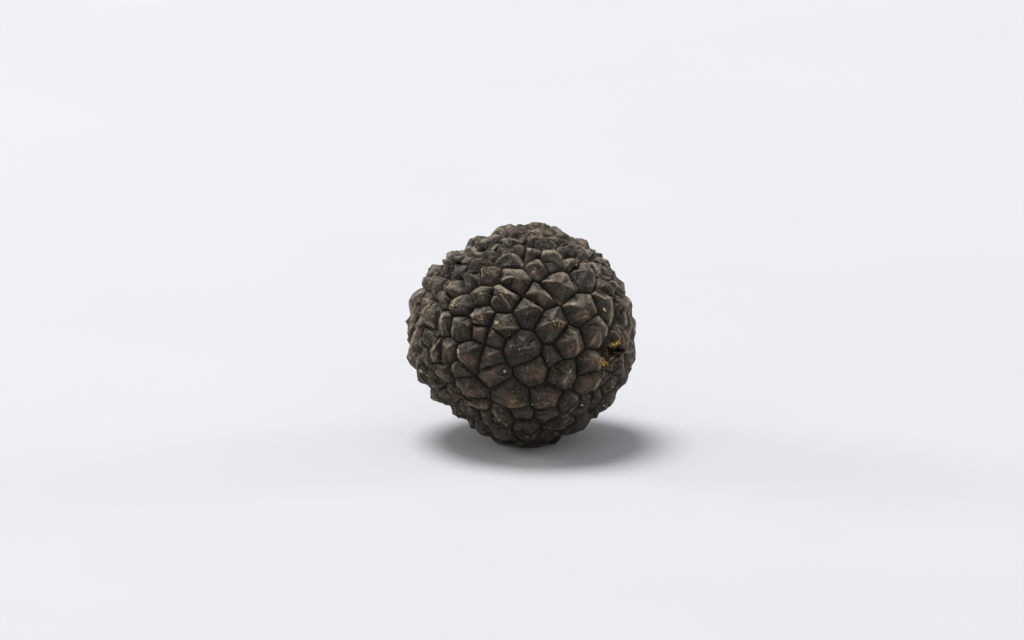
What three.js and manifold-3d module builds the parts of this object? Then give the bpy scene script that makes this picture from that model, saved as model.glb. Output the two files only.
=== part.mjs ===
// Black truffle: one solid ball of a fungus, its skin broken into polygonal warts.
//
// Each wart is a low pyramid that stands in its own cell, with a narrow furrow round it. The cells
// share the whole ball between them, so the furrows form one continuous net. One wart on the show
// face has rotted out into a pit, and the underside is worn flat where the truffle rests.
//
// Millimetres, +Z up, origin at the middle of the base. The show face looks towards -Y.

import * as THREE from 'three';
import { ConvexHull } from 'three/addons/math/ConvexHull.js';
import { mergeVertices } from 'three/addons/utils/BufferGeometryUtils.js';
import Module from 'manifold-3d';

// ---------------------------------------------------------------- driving dimensions

// Radius to the wart tips, every 30 degrees round the show face, from +X anticlockwise.
const OUTLINE = [19.9, 19.7, 19.5, 19.1, 18.4, 19.6, 20.1, 19.1, 18.3, 19.4, 19.3, 19.9];
const DEPTH_RADIUS = 19.2; // to the wart tips, straight out of the show face and of the back
const FACE_TILT = THREE.MathUtils.degToRad(15); // the show face looks up by this much
const REST_DEPTH = 18.5; // from the ball's centre down to the worn flat base

const TIP_RISE = 1.2; // a wart's tip above its rim, on a wart of ordinary breadth
const FURROW_DEPTH = 0.9; // a wart's rim above the bottom of the furrow round it
const FURROW_HALF_WIDTH = 0.3;
const CORNER_INSET = 1.25; // a rim's corner stands back by this many half widths of the furrow

const ORDINARY_BREADTH = 2.4; // from a wart's tip to the corners of its cell
const LEAST_RISE = 0.55; // the lowest wart, as a share of TIP_RISE
const MOST_RISE = 1.2; // the highest
const RISE_SPREAD = 0.2; // how much two warts of one breadth differ in height
const SHOULDER_AT = 0.5; // share of the way from tip to rim where the sides get steeper
const SHOULDER_DROP = 0.3; // share of the rise that is lost by then

const PIT_LIP = 0.35; // the pit's lip below the rims of ordinary warts
const PIT_LEDGE = 1.3; // its shoulder below them
const PIT_DEPTH = 2.6; // its middle below them

// Broad swellings and hollows of the ball: [right, up, towards the show face, radius, height].
const SWELLINGS = [
  [0.75, -0.5, 0.35, 4.5, -1.0],
  [-0.6, -0.7, 0.3, 6, -0.5],
  [-0.5, 0.45, -0.74, 9, 0.8],
  [0.62, 0.2, -0.76, 7, -0.9],
  [0.1, -0.4, -0.91, 8, 0.7],
];

// The warts of the show face, placed by hand: [right, up, extra breadth, tip right, tip up], from the
// middle of the face. The last three may be left out, and extra breadth is in thousandths of a radius.
const SHOW_WARTS = [
  [-1.0, 18.4], [-4.1, 17.8], [-7.6, 15.9], [-4.3, 16.6], [-2.8, 15.5, 0, -3.3, 16.2], [-0.5, 16.9],
  [-0.7, 14.5, 0, -0.5, 15.2], [-2.2, 12.6, 4, -2.4, 13.8], [-5.7, 14.0], [-8.8, 14.1], [-11.4, 14.0],
  [-13.3, 12.6], [-11.4, 11.2], [-13.4, 10.7, 0, -12.9, 11.4], [-7.6, 12.2, 0, -7.8, 12.8],
  [-8.8, 9.3, 0, -9.0, 10.3], [-5.5, 10.3, 0, -5.9, 11.2], [-1.0, 9.3, 4, -1.0, 9.8], [-15.2, 11.2],
  [-16.6, 9.5], [-14.7, 8.4, 2, -15.0, 10.0], [-11.7, 8.1, 0, -12.4, 8.3], [-13.4, 6.0, 0, -13.6, 6.6],
  [-10.3, 5.3, 0, -11.4, 5.3], [-7.1, 6.7, 0, -7.6, 7.2], [-3.1, 6.0, 3, -3.8, 7.2], [-18.3, 6.6],
  [-17.2, 5.3], [-18.8, 4.1], [-15.7, 3.3, 2, -16.6, 3.8], [-13.3, 2.1, 0, -13.6, 3.1],
  [-10.5, 1.0, 0, -11.0, 2.1], [-6.9, 3.3, 0, -8.1, 3.4], [-7.4, 0.3, -2, -7.6, 0.7],
  [-2.8, 2.1, 2, -3.3, 1.4], [-4.7, -0.5, -2, -4.5, 0.2], [-19.7, 0.3], [-18.1, 1.7],
  [-16.4, -0.5, 0, -16.9, 0.3], [-18.8, -1.4], [-19.0, -3.6], [-14.8, -2.6, -2, -15.0, -2.6],
  [-12.8, -2.9, 0, -12.9, -2.4], [-16.7, -4.5, 0, -16.9, -3.8], [-8.8, -3.4, 5, -10.3, -3.1],
  [-10.7, -5.9, -2, -11.4, -4.8], [-5.7, -4.3, 2, -5.9, -3.6], [-0.2, -2.4, 9, -0.9, -2.4],
  [-13.6, -6.6, 0, -14.0, -6.0], [-17.4, -7.1], [-15.9, -8.1], [-4.3, -7.1, 3, -5.0, -6.6],
  [-8.8, -9.3, 3, -9.0, -8.8], [-11.6, -10.5, -2], [-7.9, -12.1, -2], [-13.3, -11.0, -2],
  [-2.1, -10.3, 9, -2.4, -10.5], [-9.8, -13.6], [-5.7, -15.2], [-3.3, -14.5, 0, -3.6, -14.1],
  [-6.9, -17.8], [-3.1, -17.8], [1.0, 17.8], [3.6, 18.6], [2.9, 16.2, 3, 3.3, 17.2], [5.9, 16.4],
  [7.4, 17.2], [9.5, 16.4], [7.8, 14.3, 0, 7.8, 15.2], [10.2, 14.3, 0, 10.5, 15.0], [12.2, 14.3],
  [1.7, 14.0, -1, 1.9, 14.5], [5.0, 12.9, 3, 4.7, 13.8], [2.6, 11.2, 0, 2.6, 12.2],
  [8.4, 12.1, 0, 8.6, 12.6], [10.9, 10.0, 5, 11.0, 11.0], [13.8, 11.6], [15.5, 10.9],
  [6.4, 8.3, 5, 6.6, 8.8], [3.1, 6.7, 0, 2.8, 7.6], [14.5, 8.3], [16.7, 8.8],
  [14.0, 4.5, 3, 14.1, 6.0], [16.7, 5.2], [18.6, 5.2], [9.8, 4.5, 3, 10.5, 5.0],
  [1.2, 3.8, 3, 1.4, 4.7], [5.0, 1.6, 4, 5.2, 2.4], [12.6, 0.3, 2, 12.9, 1.9],
  [8.3, -1.4, 4, 9.0, -1.0], [17.8, 2.8], [16.2, 0.7, -2], [18.6, -0.5], [5.0, -3.8, -2, 5.0, -2.9],
  [6.9, -7.2, 3, 7.8, -6.6], [1.7, -6.4, 4, 2.2, -5.9], [11.4, -4.8, 3, 12.1, -4.3],
  [11.6, -8.4, 3, 12.1, -7.8], [4.0, -10.9, 6, 4.3, -10.5], [8.3, -11.7, 0, 8.6, -10.9],
  [10.9, -12.6, 0, 11.2, -12.1], [0.0, -14.0, -1], [4.3, -14.0, -1, 4.7, -13.3],
  [6.6, -16.0, 0, 7.1, -15.5], [0.7, -15.7, -1], [0.9, -17.9], [4.7, -17.9],
  [15.9, -5.5, -2], [17.6, -5.3], [18.8, -3.6], [14.8, -7.9], [16.0, -9.1], [13.6, -11.2],
  [15.5, -12.1],
];
const PIT = [15.2, -2.8]; // the rotted wart's place on the show face
const LIMB_SHARE = 0.995; // the furthest out that a placed wart stands, as a share of the outline
const FURROW_SHIFT = 0.06; // cells are placed by their furrows, which lie deeper than the tips do
const BREADTH_UNIT = 0.001;

// The warts of the hidden side: evenly spread spots, jostled a little, then eased apart.
const SPREAD_SPOTS = 230; // over the whole ball, of which only the hidden side's are used
const SPOT_CLEARANCE = 0.2; // radians from a spot to the nearest placed wart
const SPOT_LIMIT = 0.12; // how far round to the front a spot may stand, as a share of the radius
const SPOT_JOSTLE = 0.1; // radians
const SPOT_BREADTH = 6; // the broadest one's extra breadth
const EASING_STEPS = 2;
const TIP_WANDER = 0.25; // how far a tip strays from the middle of its cell, as a share of its breadth

const BLOCK_SIZE = 60; // wider than the truffle, for the worn base

// ---------------------------------------------------------------- the ball's broad form

const RIGHT = new THREE.Vector3(1, 0, 0);
const SHOW = new THREE.Vector3(0, -Math.cos(FACE_TILT), Math.sin(FACE_TILT));
const UP = new THREE.Vector3(0, Math.sin(FACE_TILT), Math.cos(FACE_TILT));
const DOWN = new THREE.Vector3(0, 0, -1);

// A vector out of its parts to the right, up the show face and straight out of it.
function faceVector(right, up, show) {
  return new THREE.Vector3()
    .addScaledVector(RIGHT, right)
    .addScaledVector(UP, up)
    .addScaledVector(SHOW, show);
}

// A smooth closed curve through the radii of OUTLINE.
function outlineRadius(angle) {
  const count = OUTLINE.length;
  let radius = 0;
  OUTLINE.forEach((value, place) => {
    const half = (angle - (place / count) * 2 * Math.PI) / 2;
    const onPoint = Math.abs(Math.sin(half)) < Number.EPSILON;
    radius += value * (onPoint ? 1 : Math.sin(count * half) / (count * Math.tan(half)));
  });
  return radius;
}

function swellingAt(direction) {
  let height = 0;
  for (const [right, up, show, radius, rise] of SWELLINGS) {
    const centre = faceVector(right, up, show).normalize();
    const away = direction.distanceTo(centre) * DEPTH_RADIUS;
    height += rise * Math.exp(-((away / radius) ** 2));
  }
  return height;
}

// The point in this direction at some height above the wart tips' own surface.
function surfacePoint(direction, height) {
  const right = direction.dot(RIGHT);
  const up = direction.dot(UP);
  const radius = outlineRadius(Math.atan2(up, right));
  const point = faceVector(right * radius, up * radius, direction.dot(SHOW) * DEPTH_RADIUS);
  return point.setLength(point.length() + swellingAt(direction) + height);
}

// ---------------------------------------------------------------- where the warts stand

// A number from 0 to 1, always the same for the same wart and use.
function scatter(place, use) {
  const wave = Math.sin(place * 12.9898 + use * 78.233) * 43758.5453;
  return wave - Math.floor(wave);
}

// The direction from the ball's centre to a place on the show face. What lies deeper than the tips
// is shifted outwards, most of it half way to the limb, so that it shows at that place.
function showDirection(right, up, shift) {
  const angle = Math.atan2(up, right);
  const atTips = Math.min(Math.hypot(right, up) / outlineRadius(angle), 1);
  const share = Math.min(atTips * (1 + shift * (1 - atTips ** 2)), LIMB_SHARE);
  return faceVector(share * Math.cos(angle), share * Math.sin(angle), Math.sqrt(1 - share ** 2));
}

function placedWarts() {
  return SHOW_WARTS.map(([right, up, breadth = 0, tipRight = right, tipUp = up]) => ({
    centre: showDirection(right, up, FURROW_SHIFT),
    tip: showDirection(tipRight, tipUp, 0),
    breadth,
  }));
}

// One of the evenly spread spots, on a spiral from the show face round to the back, then jostled.
function spreadSpot(place) {
  const show = 1 - (2 * place + 1) / SPREAD_SPOTS;
  const turn = place * Math.PI * (3 - Math.sqrt(5));
  const around = Math.sqrt(1 - show ** 2);
  const spot = faceVector(around * Math.cos(turn), around * Math.sin(turn), show);
  const jostle = new THREE.Vector3(scatter(place, 1), scatter(place, 2), scatter(place, 3));
  return spot.addScaledVector(jostle.subScalar(0.5), 2 * SPOT_JOSTLE).normalize();
}

function hiddenWarts(placed) {
  const warts = [];
  for (let place = 0; place < SPREAD_SPOTS; place += 1) {
    const spot = spreadSpot(place);
    const nearest = Math.min(...placed.map(({ centre }) => centre.angleTo(spot)));
    if (nearest > SPOT_CLEARANCE && spot.dot(SHOW) < SPOT_LIMIT) {
      warts.push({ centre: spot, breadth: SPOT_BREADTH * scatter(place, 4) });
    }
  }
  return warts;
}

// Every wart's cell, as the directions of its corners, anticlockwise seen from outside. A hull over
// the centres joins neighbours in threes, and each three of them share the corner that they face.
function wartCells(warts) {
  const heads = warts.map(({ centre, breadth }) =>
    centre.clone().multiplyScalar(1 + breadth * BREADTH_UNIT)
  );
  const places = new Map(heads.map((head, place) => [head, place]));
  const cells = warts.map(() => []);
  for (const face of new ConvexHull().setFromPoints(heads).faces) {
    const corner = face.normal.clone();
    for (const offset of [0, 1, 2]) {
      cells[places.get(face.getEdge(offset).head().point)].push(corner);
    }
  }
  return cells.map((corners, place) => inOrderRound(warts[place].centre, corners));
}

function inOrderRound(axis, corners) {
  const first = new THREE.Vector3().crossVectors(axis, corners[0]).normalize();
  const second = new THREE.Vector3().crossVectors(axis, first);
  const turn = (corner) => Math.atan2(corner.dot(second), corner.dot(first));
  return [...corners].sort((a, b) => turn(a) - turn(b));
}

function middleOf(directions) {
  const sum = new THREE.Vector3();
  directions.forEach((direction) => sum.add(direction));
  return sum.normalize();
}

// Each hidden wart moves to the middle of its own cell, a few times over.
function easeApart(placed, hidden) {
  for (let step = 0; step < EASING_STEPS; step += 1) {
    const cells = wartCells([...placed, ...hidden]).slice(placed.length);
    cells.forEach((corners, place) => {
      hidden[place].centre = middleOf(corners);
    });
  }
}

// A hidden wart's tip stands off the middle of its cell, towards a corner picked by chance.
function strayTip(centre, corners, place) {
  const towards = corners[Math.floor(scatter(place, 5) * corners.length)];
  return centre.clone().lerp(towards, TIP_WANDER * scatter(place, 6)).normalize();
}

function allWarts() {
  const pitCentre = showDirection(...PIT, FURROW_SHIFT);
  const pit = { centre: pitCentre, tip: pitCentre.clone(), breadth: 0, isPit: true };
  const underside = { centre: DOWN.clone(), tip: DOWN.clone(), breadth: 0 };
  const placed = [...placedWarts(), pit, underside];
  const hidden = hiddenWarts(placed);
  easeApart(placed, hidden);
  const warts = [...placed, ...hidden];
  wartCells(warts).forEach((corners, place) => {
    const wart = warts[place];
    wart.corners = corners;
    wart.tip ??= strayTip(wart.centre, corners, place);
    wart.size = mean(corners.map((corner) => corner.angleTo(wart.tip))) * DEPTH_RADIUS;
    wart.variation = 1 + RISE_SPREAD * (2 * scatter(place, 7) - 1);
  });
  return warts;
}

function mean(values) {
  return values.reduce((sum, value) => sum + value, 0) / values.length;
}

// ---------------------------------------------------------------- the relief

// Heights of a wart's tip, shoulder and rim, from the wart tips' own surface.
function wartHeights({ isPit, size, variation }) {
  if (isPit) {
    return [-TIP_RISE - PIT_DEPTH, -TIP_RISE - PIT_LEDGE, -TIP_RISE - PIT_LIP];
  }
  const share = THREE.MathUtils.clamp((size / ORDINARY_BREADTH) * variation, LEAST_RISE, MOST_RISE);
  const rise = TIP_RISE * share;
  return [rise - TIP_RISE, rise * (1 - SHOULDER_DROP) - TIP_RISE, -TIP_RISE];
}

// A ring round the wart's tip, some share of the way out to each corner of its rim.
function wartRing({ tip, corners }, share, height) {
  return corners.map((corner) => {
    const reach = corner.angleTo(tip) * DEPTH_RADIUS;
    const rimShare = 1 - (CORNER_INSET * FURROW_HALF_WIDTH) / reach;
    return surfacePoint(tip.clone().lerp(corner, share * rimShare).normalize(), height);
  });
}

// The strip of triangles between two rings with a corner each for each other.
function stripBetween(inner, outer) {
  return inner.flatMap((point, place) => {
    const next = (place + 1) % inner.length;
    return [point, outer[place], outer[next], point, outer[next], inner[next]];
  });
}

// All triangles of one wart and its half of the furrow round it, as a list of points.
function wartTriangles(wart) {
  const [tipHeight, shoulderHeight, rimHeight] = wartHeights(wart);
  const tip = surfacePoint(wart.tip, tipHeight);
  const shoulder = wartRing(wart, SHOULDER_AT, shoulderHeight);
  const rim = wartRing(wart, 1, rimHeight);
  const furrow = wart.corners.map((corner) => surfacePoint(corner, -TIP_RISE - FURROW_DEPTH));
  const crown = shoulder.flatMap((point, place) => {
    return [tip, point, shoulder[(place + 1) % shoulder.length]];
  });
  return [...crown, ...stripBetween(shoulder, rim), ...stripBetween(rim, furrow)];
}

// ---------------------------------------------------------------- the solid

// A closed geometry as a solid that can be cut.
function toSolid(wasm, geometry) {
  const bare = new THREE.BufferGeometry();
  bare.setAttribute('position', geometry.getAttribute('position'));
  bare.setIndex(geometry.getIndex());
  const merged = mergeVertices(bare);
  const vertProperties = new Float32Array(merged.getAttribute('position').array);
  const triVerts = new Uint32Array(merged.getIndex().array);
  return new wasm.Manifold(new wasm.Mesh({ numProp: 3, vertProperties, triVerts }));
}

function toGeometry(solid) {
  const mesh = solid.getMesh();
  const geometry = new THREE.BufferGeometry();
  geometry.setAttribute('position', new THREE.BufferAttribute(mesh.vertProperties, 3));
  geometry.setIndex(new THREE.BufferAttribute(mesh.triVerts, 1));
  return geometry;
}

// Cuts the underside flat where the truffle rests.
function wearBase(wasm, geometry) {
  const block = new THREE.BoxGeometry(BLOCK_SIZE, BLOCK_SIZE, BLOCK_SIZE);
  block.translate(0, 0, -REST_DEPTH - BLOCK_SIZE / 2);
  return toGeometry(toSolid(wasm, geometry).subtract(toSolid(wasm, block)));
}

// Moves the geometry so that the middle of its base is the origin.
function standOnOrigin(geometry) {
  geometry.computeBoundingBox();
  const { min, max } = geometry.boundingBox;
  return geometry.translate(-(min.x + max.x) / 2, -(min.y + max.y) / 2, -min.z);
}

function truffleGeometry(wasm) {
  const points = allWarts().flatMap(wartTriangles);
  const geometry = new THREE.BufferGeometry().setFromPoints(points);
  const worn = standOnOrigin(wearBase(wasm, geometry));
  worn.computeVertexNormals();
  return worn;
}

const wasm = await Module();
wasm.setup();

const skin = new THREE.MeshStandardMaterial({ color: 0x2f2a27, roughness: 0.85, metalness: 0 });
const truffle = new THREE.Mesh(truffleGeometry(wasm), skin);
truffle.name = 'truffle';

const part = new THREE.Group();
part.add(truffle);

export default part;
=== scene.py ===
"""Black truffle: a round fungus body covered in polygonal warts, with grains of soil stuck to its skin.

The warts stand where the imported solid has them. Their layout is worked out here by the same rule, so that
each one can carry a finer surface. Lengths are in millimetres until a mesh is made, which is in metres.
"""

import logging
import math
from dataclasses import dataclass, field
from enum import Enum, IntEnum
from functools import reduce

import bmesh
import bpy
import numpy as np
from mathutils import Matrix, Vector, noise
from numpy.typing import NDArray


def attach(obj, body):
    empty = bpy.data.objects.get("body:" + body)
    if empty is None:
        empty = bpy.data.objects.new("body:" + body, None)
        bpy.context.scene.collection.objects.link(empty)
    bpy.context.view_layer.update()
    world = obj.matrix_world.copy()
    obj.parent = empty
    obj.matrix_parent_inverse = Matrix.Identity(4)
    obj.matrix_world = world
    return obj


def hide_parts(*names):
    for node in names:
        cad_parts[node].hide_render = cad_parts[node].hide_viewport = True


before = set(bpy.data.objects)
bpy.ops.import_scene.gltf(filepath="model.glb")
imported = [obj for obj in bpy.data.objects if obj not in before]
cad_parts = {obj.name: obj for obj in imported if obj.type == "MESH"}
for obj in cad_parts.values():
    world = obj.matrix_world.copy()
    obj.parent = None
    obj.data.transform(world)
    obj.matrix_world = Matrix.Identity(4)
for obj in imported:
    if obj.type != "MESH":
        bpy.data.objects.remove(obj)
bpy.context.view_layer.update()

Floats = NDArray[np.float64]
Wholes = NDArray[np.int64]
Flags = NDArray[np.bool_]
Rows = tuple[tuple[float, ...], ...]
Pair = tuple[float, float]
Ends = tuple[int, int]
Place = tuple[float, float, float]
Colour = tuple[float, float, float]
Socket = bpy.types.NodeSocket
Node = bpy.types.Node
Piece = bpy.types.Object
Material = bpy.types.Material
NodeTree = bpy.types.ShaderNodeTree
Feed = Socket | float | Colour
Feeds = dict[str | int, Feed]

LOG = logging.getLogger("truffle")
MM = 0.001
NOISE_MIDDLE = 0.5  # the middle of the shader's noise, which runs from 0 to 1
DRIFT_SEED = 1  # the seed of the drift that makes the skin uneven
SCATTERING = (12.9898, 78.233, 43758.5453)  # large enough to mix each place and use well
ON_POINT = 1e-12  # half an angle so small that it counts as none
LEAST_LENGTH = 1e-9  # keeps a face without area from a division by zero
LEAST_SIDEWAYS = 1e-6  # gives a tip right at the top a level direction too
MIX_UNDER, MIX_OVER, MIX_RESULT = 6, 7, 2  # the colour sockets of a Mix node

# ---- what was placed one by one

# The warts of the show face: right, up, extra breadth, tip right, tip up, from the middle of the face.
# The last three may be left out. Extra breadth is in thousandths of the radius.
SHOW_WARTS: Rows = (
    (-1, 18.4), (-4.1, 17.8), (-7.6, 15.9), (-4.3, 16.6), (-2.8, 15.5, 0, -3.3, 16.2), (-0.5, 16.9),
    (-0.7, 14.5, 0, -0.5, 15.2), (-2.2, 12.6, 4, -2.4, 13.8), (-5.7, 14), (-8.8, 14.1), (-11.4, 14),
    (-13.3, 12.6), (-11.4, 11.2), (-13.4, 10.7, 0, -12.9, 11.4), (-7.6, 12.2, 0, -7.8, 12.8),
    (-8.8, 9.3, 0, -9, 10.3), (-5.5, 10.3, 0, -5.9, 11.2), (-1, 9.3, 4, -1, 9.8), (-15.2, 11.2),
    (-16.6, 9.5), (-14.7, 8.4, 2, -15, 10), (-11.7, 8.1, 0, -12.4, 8.3), (-13.4, 6, 0, -13.6, 6.6),
    (-10.3, 5.3, 0, -11.4, 5.3), (-7.1, 6.7, 0, -7.6, 7.2), (-3.1, 6, 3, -3.8, 7.2), (-18.3, 6.6),
    (-17.2, 5.3), (-18.8, 4.1), (-15.7, 3.3, 2, -16.6, 3.8), (-13.3, 2.1, 0, -13.6, 3.1),
    (-10.5, 1, 0, -11, 2.1), (-6.9, 3.3, 0, -8.1, 3.4), (-7.4, 0.3, -2, -7.6, 0.7),
    (-2.8, 2.1, 2, -3.3, 1.4), (-4.7, -0.5, -2, -4.5, 0.2), (-19.7, 0.3), (-18.1, 1.7),
    (-16.4, -0.5, 0, -16.9, 0.3), (-18.8, -1.4), (-19, -3.6), (-14.8, -2.6, -2, -15, -2.6),
    (-12.8, -2.9, 0, -12.9, -2.4), (-16.7, -4.5, 0, -16.9, -3.8), (-8.8, -3.4, 5, -10.3, -3.1),
    (-10.7, -5.9, -2, -11.4, -4.8), (-5.7, -4.3, 2, -5.9, -3.6), (-0.2, -2.4, 9, -0.9, -2.4),
    (-13.6, -6.6, 0, -14, -6), (-17.4, -7.1), (-15.9, -8.1), (-4.3, -7.1, 3, -5, -6.6),
    (-8.8, -9.3, 3, -9, -8.8), (-11.6, -10.5, -2), (-7.9, -12.1, -2), (-13.3, -11, -2),
    (-2.1, -10.3, 9, -2.4, -10.5), (-9.8, -13.6), (-5.7, -15.2), (-3.3, -14.5, 0, -3.6, -14.1),
    (-6.9, -17.8), (-3.1, -17.8), (1, 17.8), (3.6, 18.6), (2.9, 16.2, 3, 3.3, 17.2), (5.9, 16.4),
    (7.4, 17.2), (9.5, 16.4), (7.8, 14.3, 0, 7.8, 15.2), (10.2, 14.3, 0, 10.5, 15), (12.2, 14.3),
    (1.7, 14, -1, 1.9, 14.5), (5, 12.9, 3, 4.7, 13.8), (2.6, 11.2, 0, 2.6, 12.2), (8.4, 12.1, 0, 8.6, 12.6),
    (10.9, 10, 5, 11, 11), (13.8, 11.6), (15.5, 10.9), (6.4, 8.3, 5, 6.6, 8.8), (3.1, 6.7, 0, 2.8, 7.6),
    (14.5, 8.3), (16.7, 8.8), (14, 4.5, 3, 14.1, 6), (16.7, 5.2), (18.6, 5.2), (9.8, 4.5, 3, 10.5, 5),
    (1.2, 3.8, 3, 1.4, 4.7), (5, 1.6, 4, 5.2, 2.4), (12.6, 0.3, 2, 12.9, 1.9), (8.3, -1.4, 4, 9, -1),
    (17.8, 2.8), (16.2, 0.7, -2), (18.6, -0.5), (5, -3.8, -2, 5, -2.9), (6.9, -7.2, 3, 7.8, -6.6),
    (1.7, -6.4, 4, 2.2, -5.9), (11.4, -4.8, 3, 12.1, -4.3), (11.6, -8.4, 3, 12.1, -7.8),
    (4, -10.9, 6, 4.3, -10.5), (8.3, -11.7, 0, 8.6, -10.9), (10.9, -12.6, 0, 11.2, -12.1), (0, -14, -1),
    (4.3, -14, -1, 4.7, -13.3), (6.6, -16, 0, 7.1, -15.5), (0.7, -15.7, -1), (0.9, -17.9), (4.7, -17.9),
    (15.9, -5.5, -2), (17.6, -5.3), (18.8, -3.6), (14.8, -7.9), (16, -9.1), (13.6, -11.2), (15.5, -12.1),
)
PIT_PLACE = (15.2, -2.8)  # the rotted wart's place on the show face: right, up

# Corners between the show face's warts that lie elsewhere than their warts would have them: right and up of
# each, then right and up of its own place.
CORNER_PLACES: Rows = (
    (-1.4, 4.1, -1.65, 3.8), (-2.8, -0.4, -2.7, -0.8), (-3.6, -2.6, -3.2, -2.5), (5.7, 4.9, 6.2, 5.2),
    (6.4, 4.7, 6.7, 5), (2.8, -3.8, 3.2, -3.4), (4, -7.8, 4.1, -8.1), (8.4, -4.5, 9.3, -4),
    (0.9, -11.9, 1.4, -12), (8.3, -9, 8.5, -9.4), (13.32, -5.48, 13.8, -5.9), (12.1, -9.2, 12.6, -9.2),
    (11.5, -9.8, 11.9, -9.9), (12.9, -2.5, 13.1, -2.7), (14.2, -0.2, 14.6, -0.2), (14.1, 1.4, 14.9, 1.2),
    (15.4, 3, 15.7, 2.9), (15.7, 2.8, 16, 2.6), (14.5, 5.8, 15.4, 6.4), (12.5, 7.2, 12.4, 7.7),
    (11.2, 6.5, 11.8, 7.1), (11.8, 3.1, 12.9, 3.7), (10.8, -1.8, 10.9, -2.3), (15.3, 7.3, 15.8, 7.3),
    (16.5, 6, 16.7, 6.2), (7.7, 14.7, 8.6, 15), (7.9, 15.1, 8.5, 15.3), (8.3, 15, 8.8, 15.2),
    (9.5, 12.3, 9.4, 13.1), (9.8, 12.1, 9.9, 12.5), (7.9, 9.9, 7.9, 10.5), (6.7, 10.5, 6.9, 10.9),
    (6.7, 12.8, 6.9, 13.1), (11.2, 11.5, 11.5, 12.2), (12.4, 10, 12.9, 9.9), (11.5, 12.6, 11.6, 12.8),
    (13.1, 11.9, 13.2, 12.1), (5.1, 14.2, 5.6, 14.6), (5.2, 14.5, 5.7, 14.8), (-3.2, 10, -3.3, 11.4),
    (-7, 10.4, -7, 10.8), (-6.7, 8.4, -7, 8.6), (-4.7, 8, -4.9, 8.4), (-4, 8.4, -3.8, 8.9),
    (2, 8.8, 1.9, 9.3), (3.3, 8.9, 3, 9), (2.5, 12.4, 2.9, 13.2), (3.3, 14, 3.4, 14.6),
    (1.1, 14.5, 0.8, 15.1), (0.3, 15.1, 0.3, 15.4), (-0.8, 15.1, -1.1, 15.5), (-2.5, 13.7, -1.9, 14.1),
    (-3.6, 13.4, -3.4, 13.9), (3.7, 16.7, 3.9, 16.8), (-11.2, 6.2, -11.8, 5.9), (-12, 4.3, -12.6, 4.4),
    (-11.1, 3, -11.8, 3.3), (-12.1, -0.4, -12.3, -0.3), (-8.8, -0.5, -8.7, -0.8), (-12.9, 7.4, -13.3, 7.6),
    (-12, 9, -12.2, 9.2), (-12.3, 9.4, -12.5, 9.5), (-9.2, 10.4, -9.7, 10.7), (-13.4, 3.8, -13.8, 4.1),
    (-10.9, -7.3, -11.6, -7.4), (-7.6, -6.6, -8, -7.1), (-7.2, -6.3, -7.4, -6.1),
    (-11.1, -8.3, -11.6, -8.2), (-9.2, -10.4, -9.9, -10.7), (-9.1, -11.3, -9.4, -11.5),
    (-15.4, -2.8, -15.7, -2.6), (-14.5, -4.3, -15, -4.8), (-13.3, -4.3, -13.8, -4.8),
)

# Broad swellings and hollows of the ball: right, up, towards the show face, radius, height.
SWELLINGS: Rows = (
    (0.75, -0.5, 0.35, 4.5, -1), (-0.6, -0.7, 0.3, 6, -0.5), (-0.5, 0.45, -0.74, 9, 0.8),
    (0.62, 0.2, -0.76, 7, -0.9), (0.1, -0.4, -0.91, 8, 0.7),
)

# Cracks in single warts, sunk and painted with near-black shade: right and up of one end, right and up of
# the other, half width, depth.
CRACKS: Rows = (
    (1.9, -0.7, 1, -1.9, 0.16, 0.35), (-1.7, 9.7, -1.9, 8.6, 0.16, 0.35), (0.2, 9.5, 0.7, 8.4, 0.15, 0.3),
    (5.7, -5.5, 6.9, -6.7, 0.17, 0.4), (11.4, 1.6, 12.9, 1.9, 0.15, 0.35), (-5.1, 6.9, -4, 6.9, 0.16, 0.35),
    (-8.5, 10.6, -7.7, 10.6, 0.15, 0.3), (-0.3, -8.9, -0.2, -9.9, 0.13, 0.25),
    (4, -8.5, 4, -9.2, 0.16, 0.35), (2.1, 16.3, 1.9, 15, 0.15, 0.3), (9.7, 10.6, 9.4, 9.2, 0.14, 0.25),
    (-6.4, 15.7, -4.8, 16, 0.26, 0.4), (-4.8, 16, -3.5, 15.9, 0.26, 0.4),
    (-3.3, 15.3, -2.3, 15.1, 0.2, 0.35), (-2.3, 15.1, -1.2, 14.9, 0.16, 0.3),
    (-4.3, 17.5, -3.4, 17.3, 0.16, 0.3), (9.4, 14.5, 9.1, 13.1, 0.16, 0.35),
    (12.3, 11.6, 12.7, 10.6, 0.13, 0.3), (12.7, 10.6, 13, 9.8, 0.13, 0.3), (2.6, 13.6, 2.5, 13.4, 0.3, 0.3),
    (5.3, 16.4, 6, 15.7, 0.14, 0.3), (4, 12.5, 4.9, 12.7, 0.25, 0.3), (8.9, 11.6, 9.6, 11.4, 0.2, 0.3),
    (-17.6, 1.4, -16.9, 1.6, 0.2, 0.35), (-16.9, 1.6, -15, 0.4, 0.25, 0.4),
    (-13, 7.2, -12.2, 6.2, 0.18, 0.3), (-15.3, 6.1, -15.3, 5.9, 0.22, 0.35), (-7.1, 4.6, -7, 4, 0.12, 0.25),
    (4.4, 2.4, 5.1, 2.4, 0.13, 0.25), (5.2, 2.3, 5.4, 1.2, 0.12, 0.25), (5.4, 1.2, 6, 0.8, 0.12, 0.2),
    (-1, 4.4, -0.4, 4.4, 0.11, 0.2), (-9.6, -11, -8.6, -11.4, 0.16, 0.3),
    (-7.6, -11.2, -6.6, -10.9, 0.15, 0.3), (-6.6, -10.9, -5.9, -11, 0.15, 0.3),
    (-9.9, -10.6, -9.9, -10.5, 0.18, 0.25), (0.6, -3.3, 0.6, -3.5, 0.22, 0.25),
    (4.2, -9.2, 4.4, -9.8, 0.13, 0.25),
)
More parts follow.
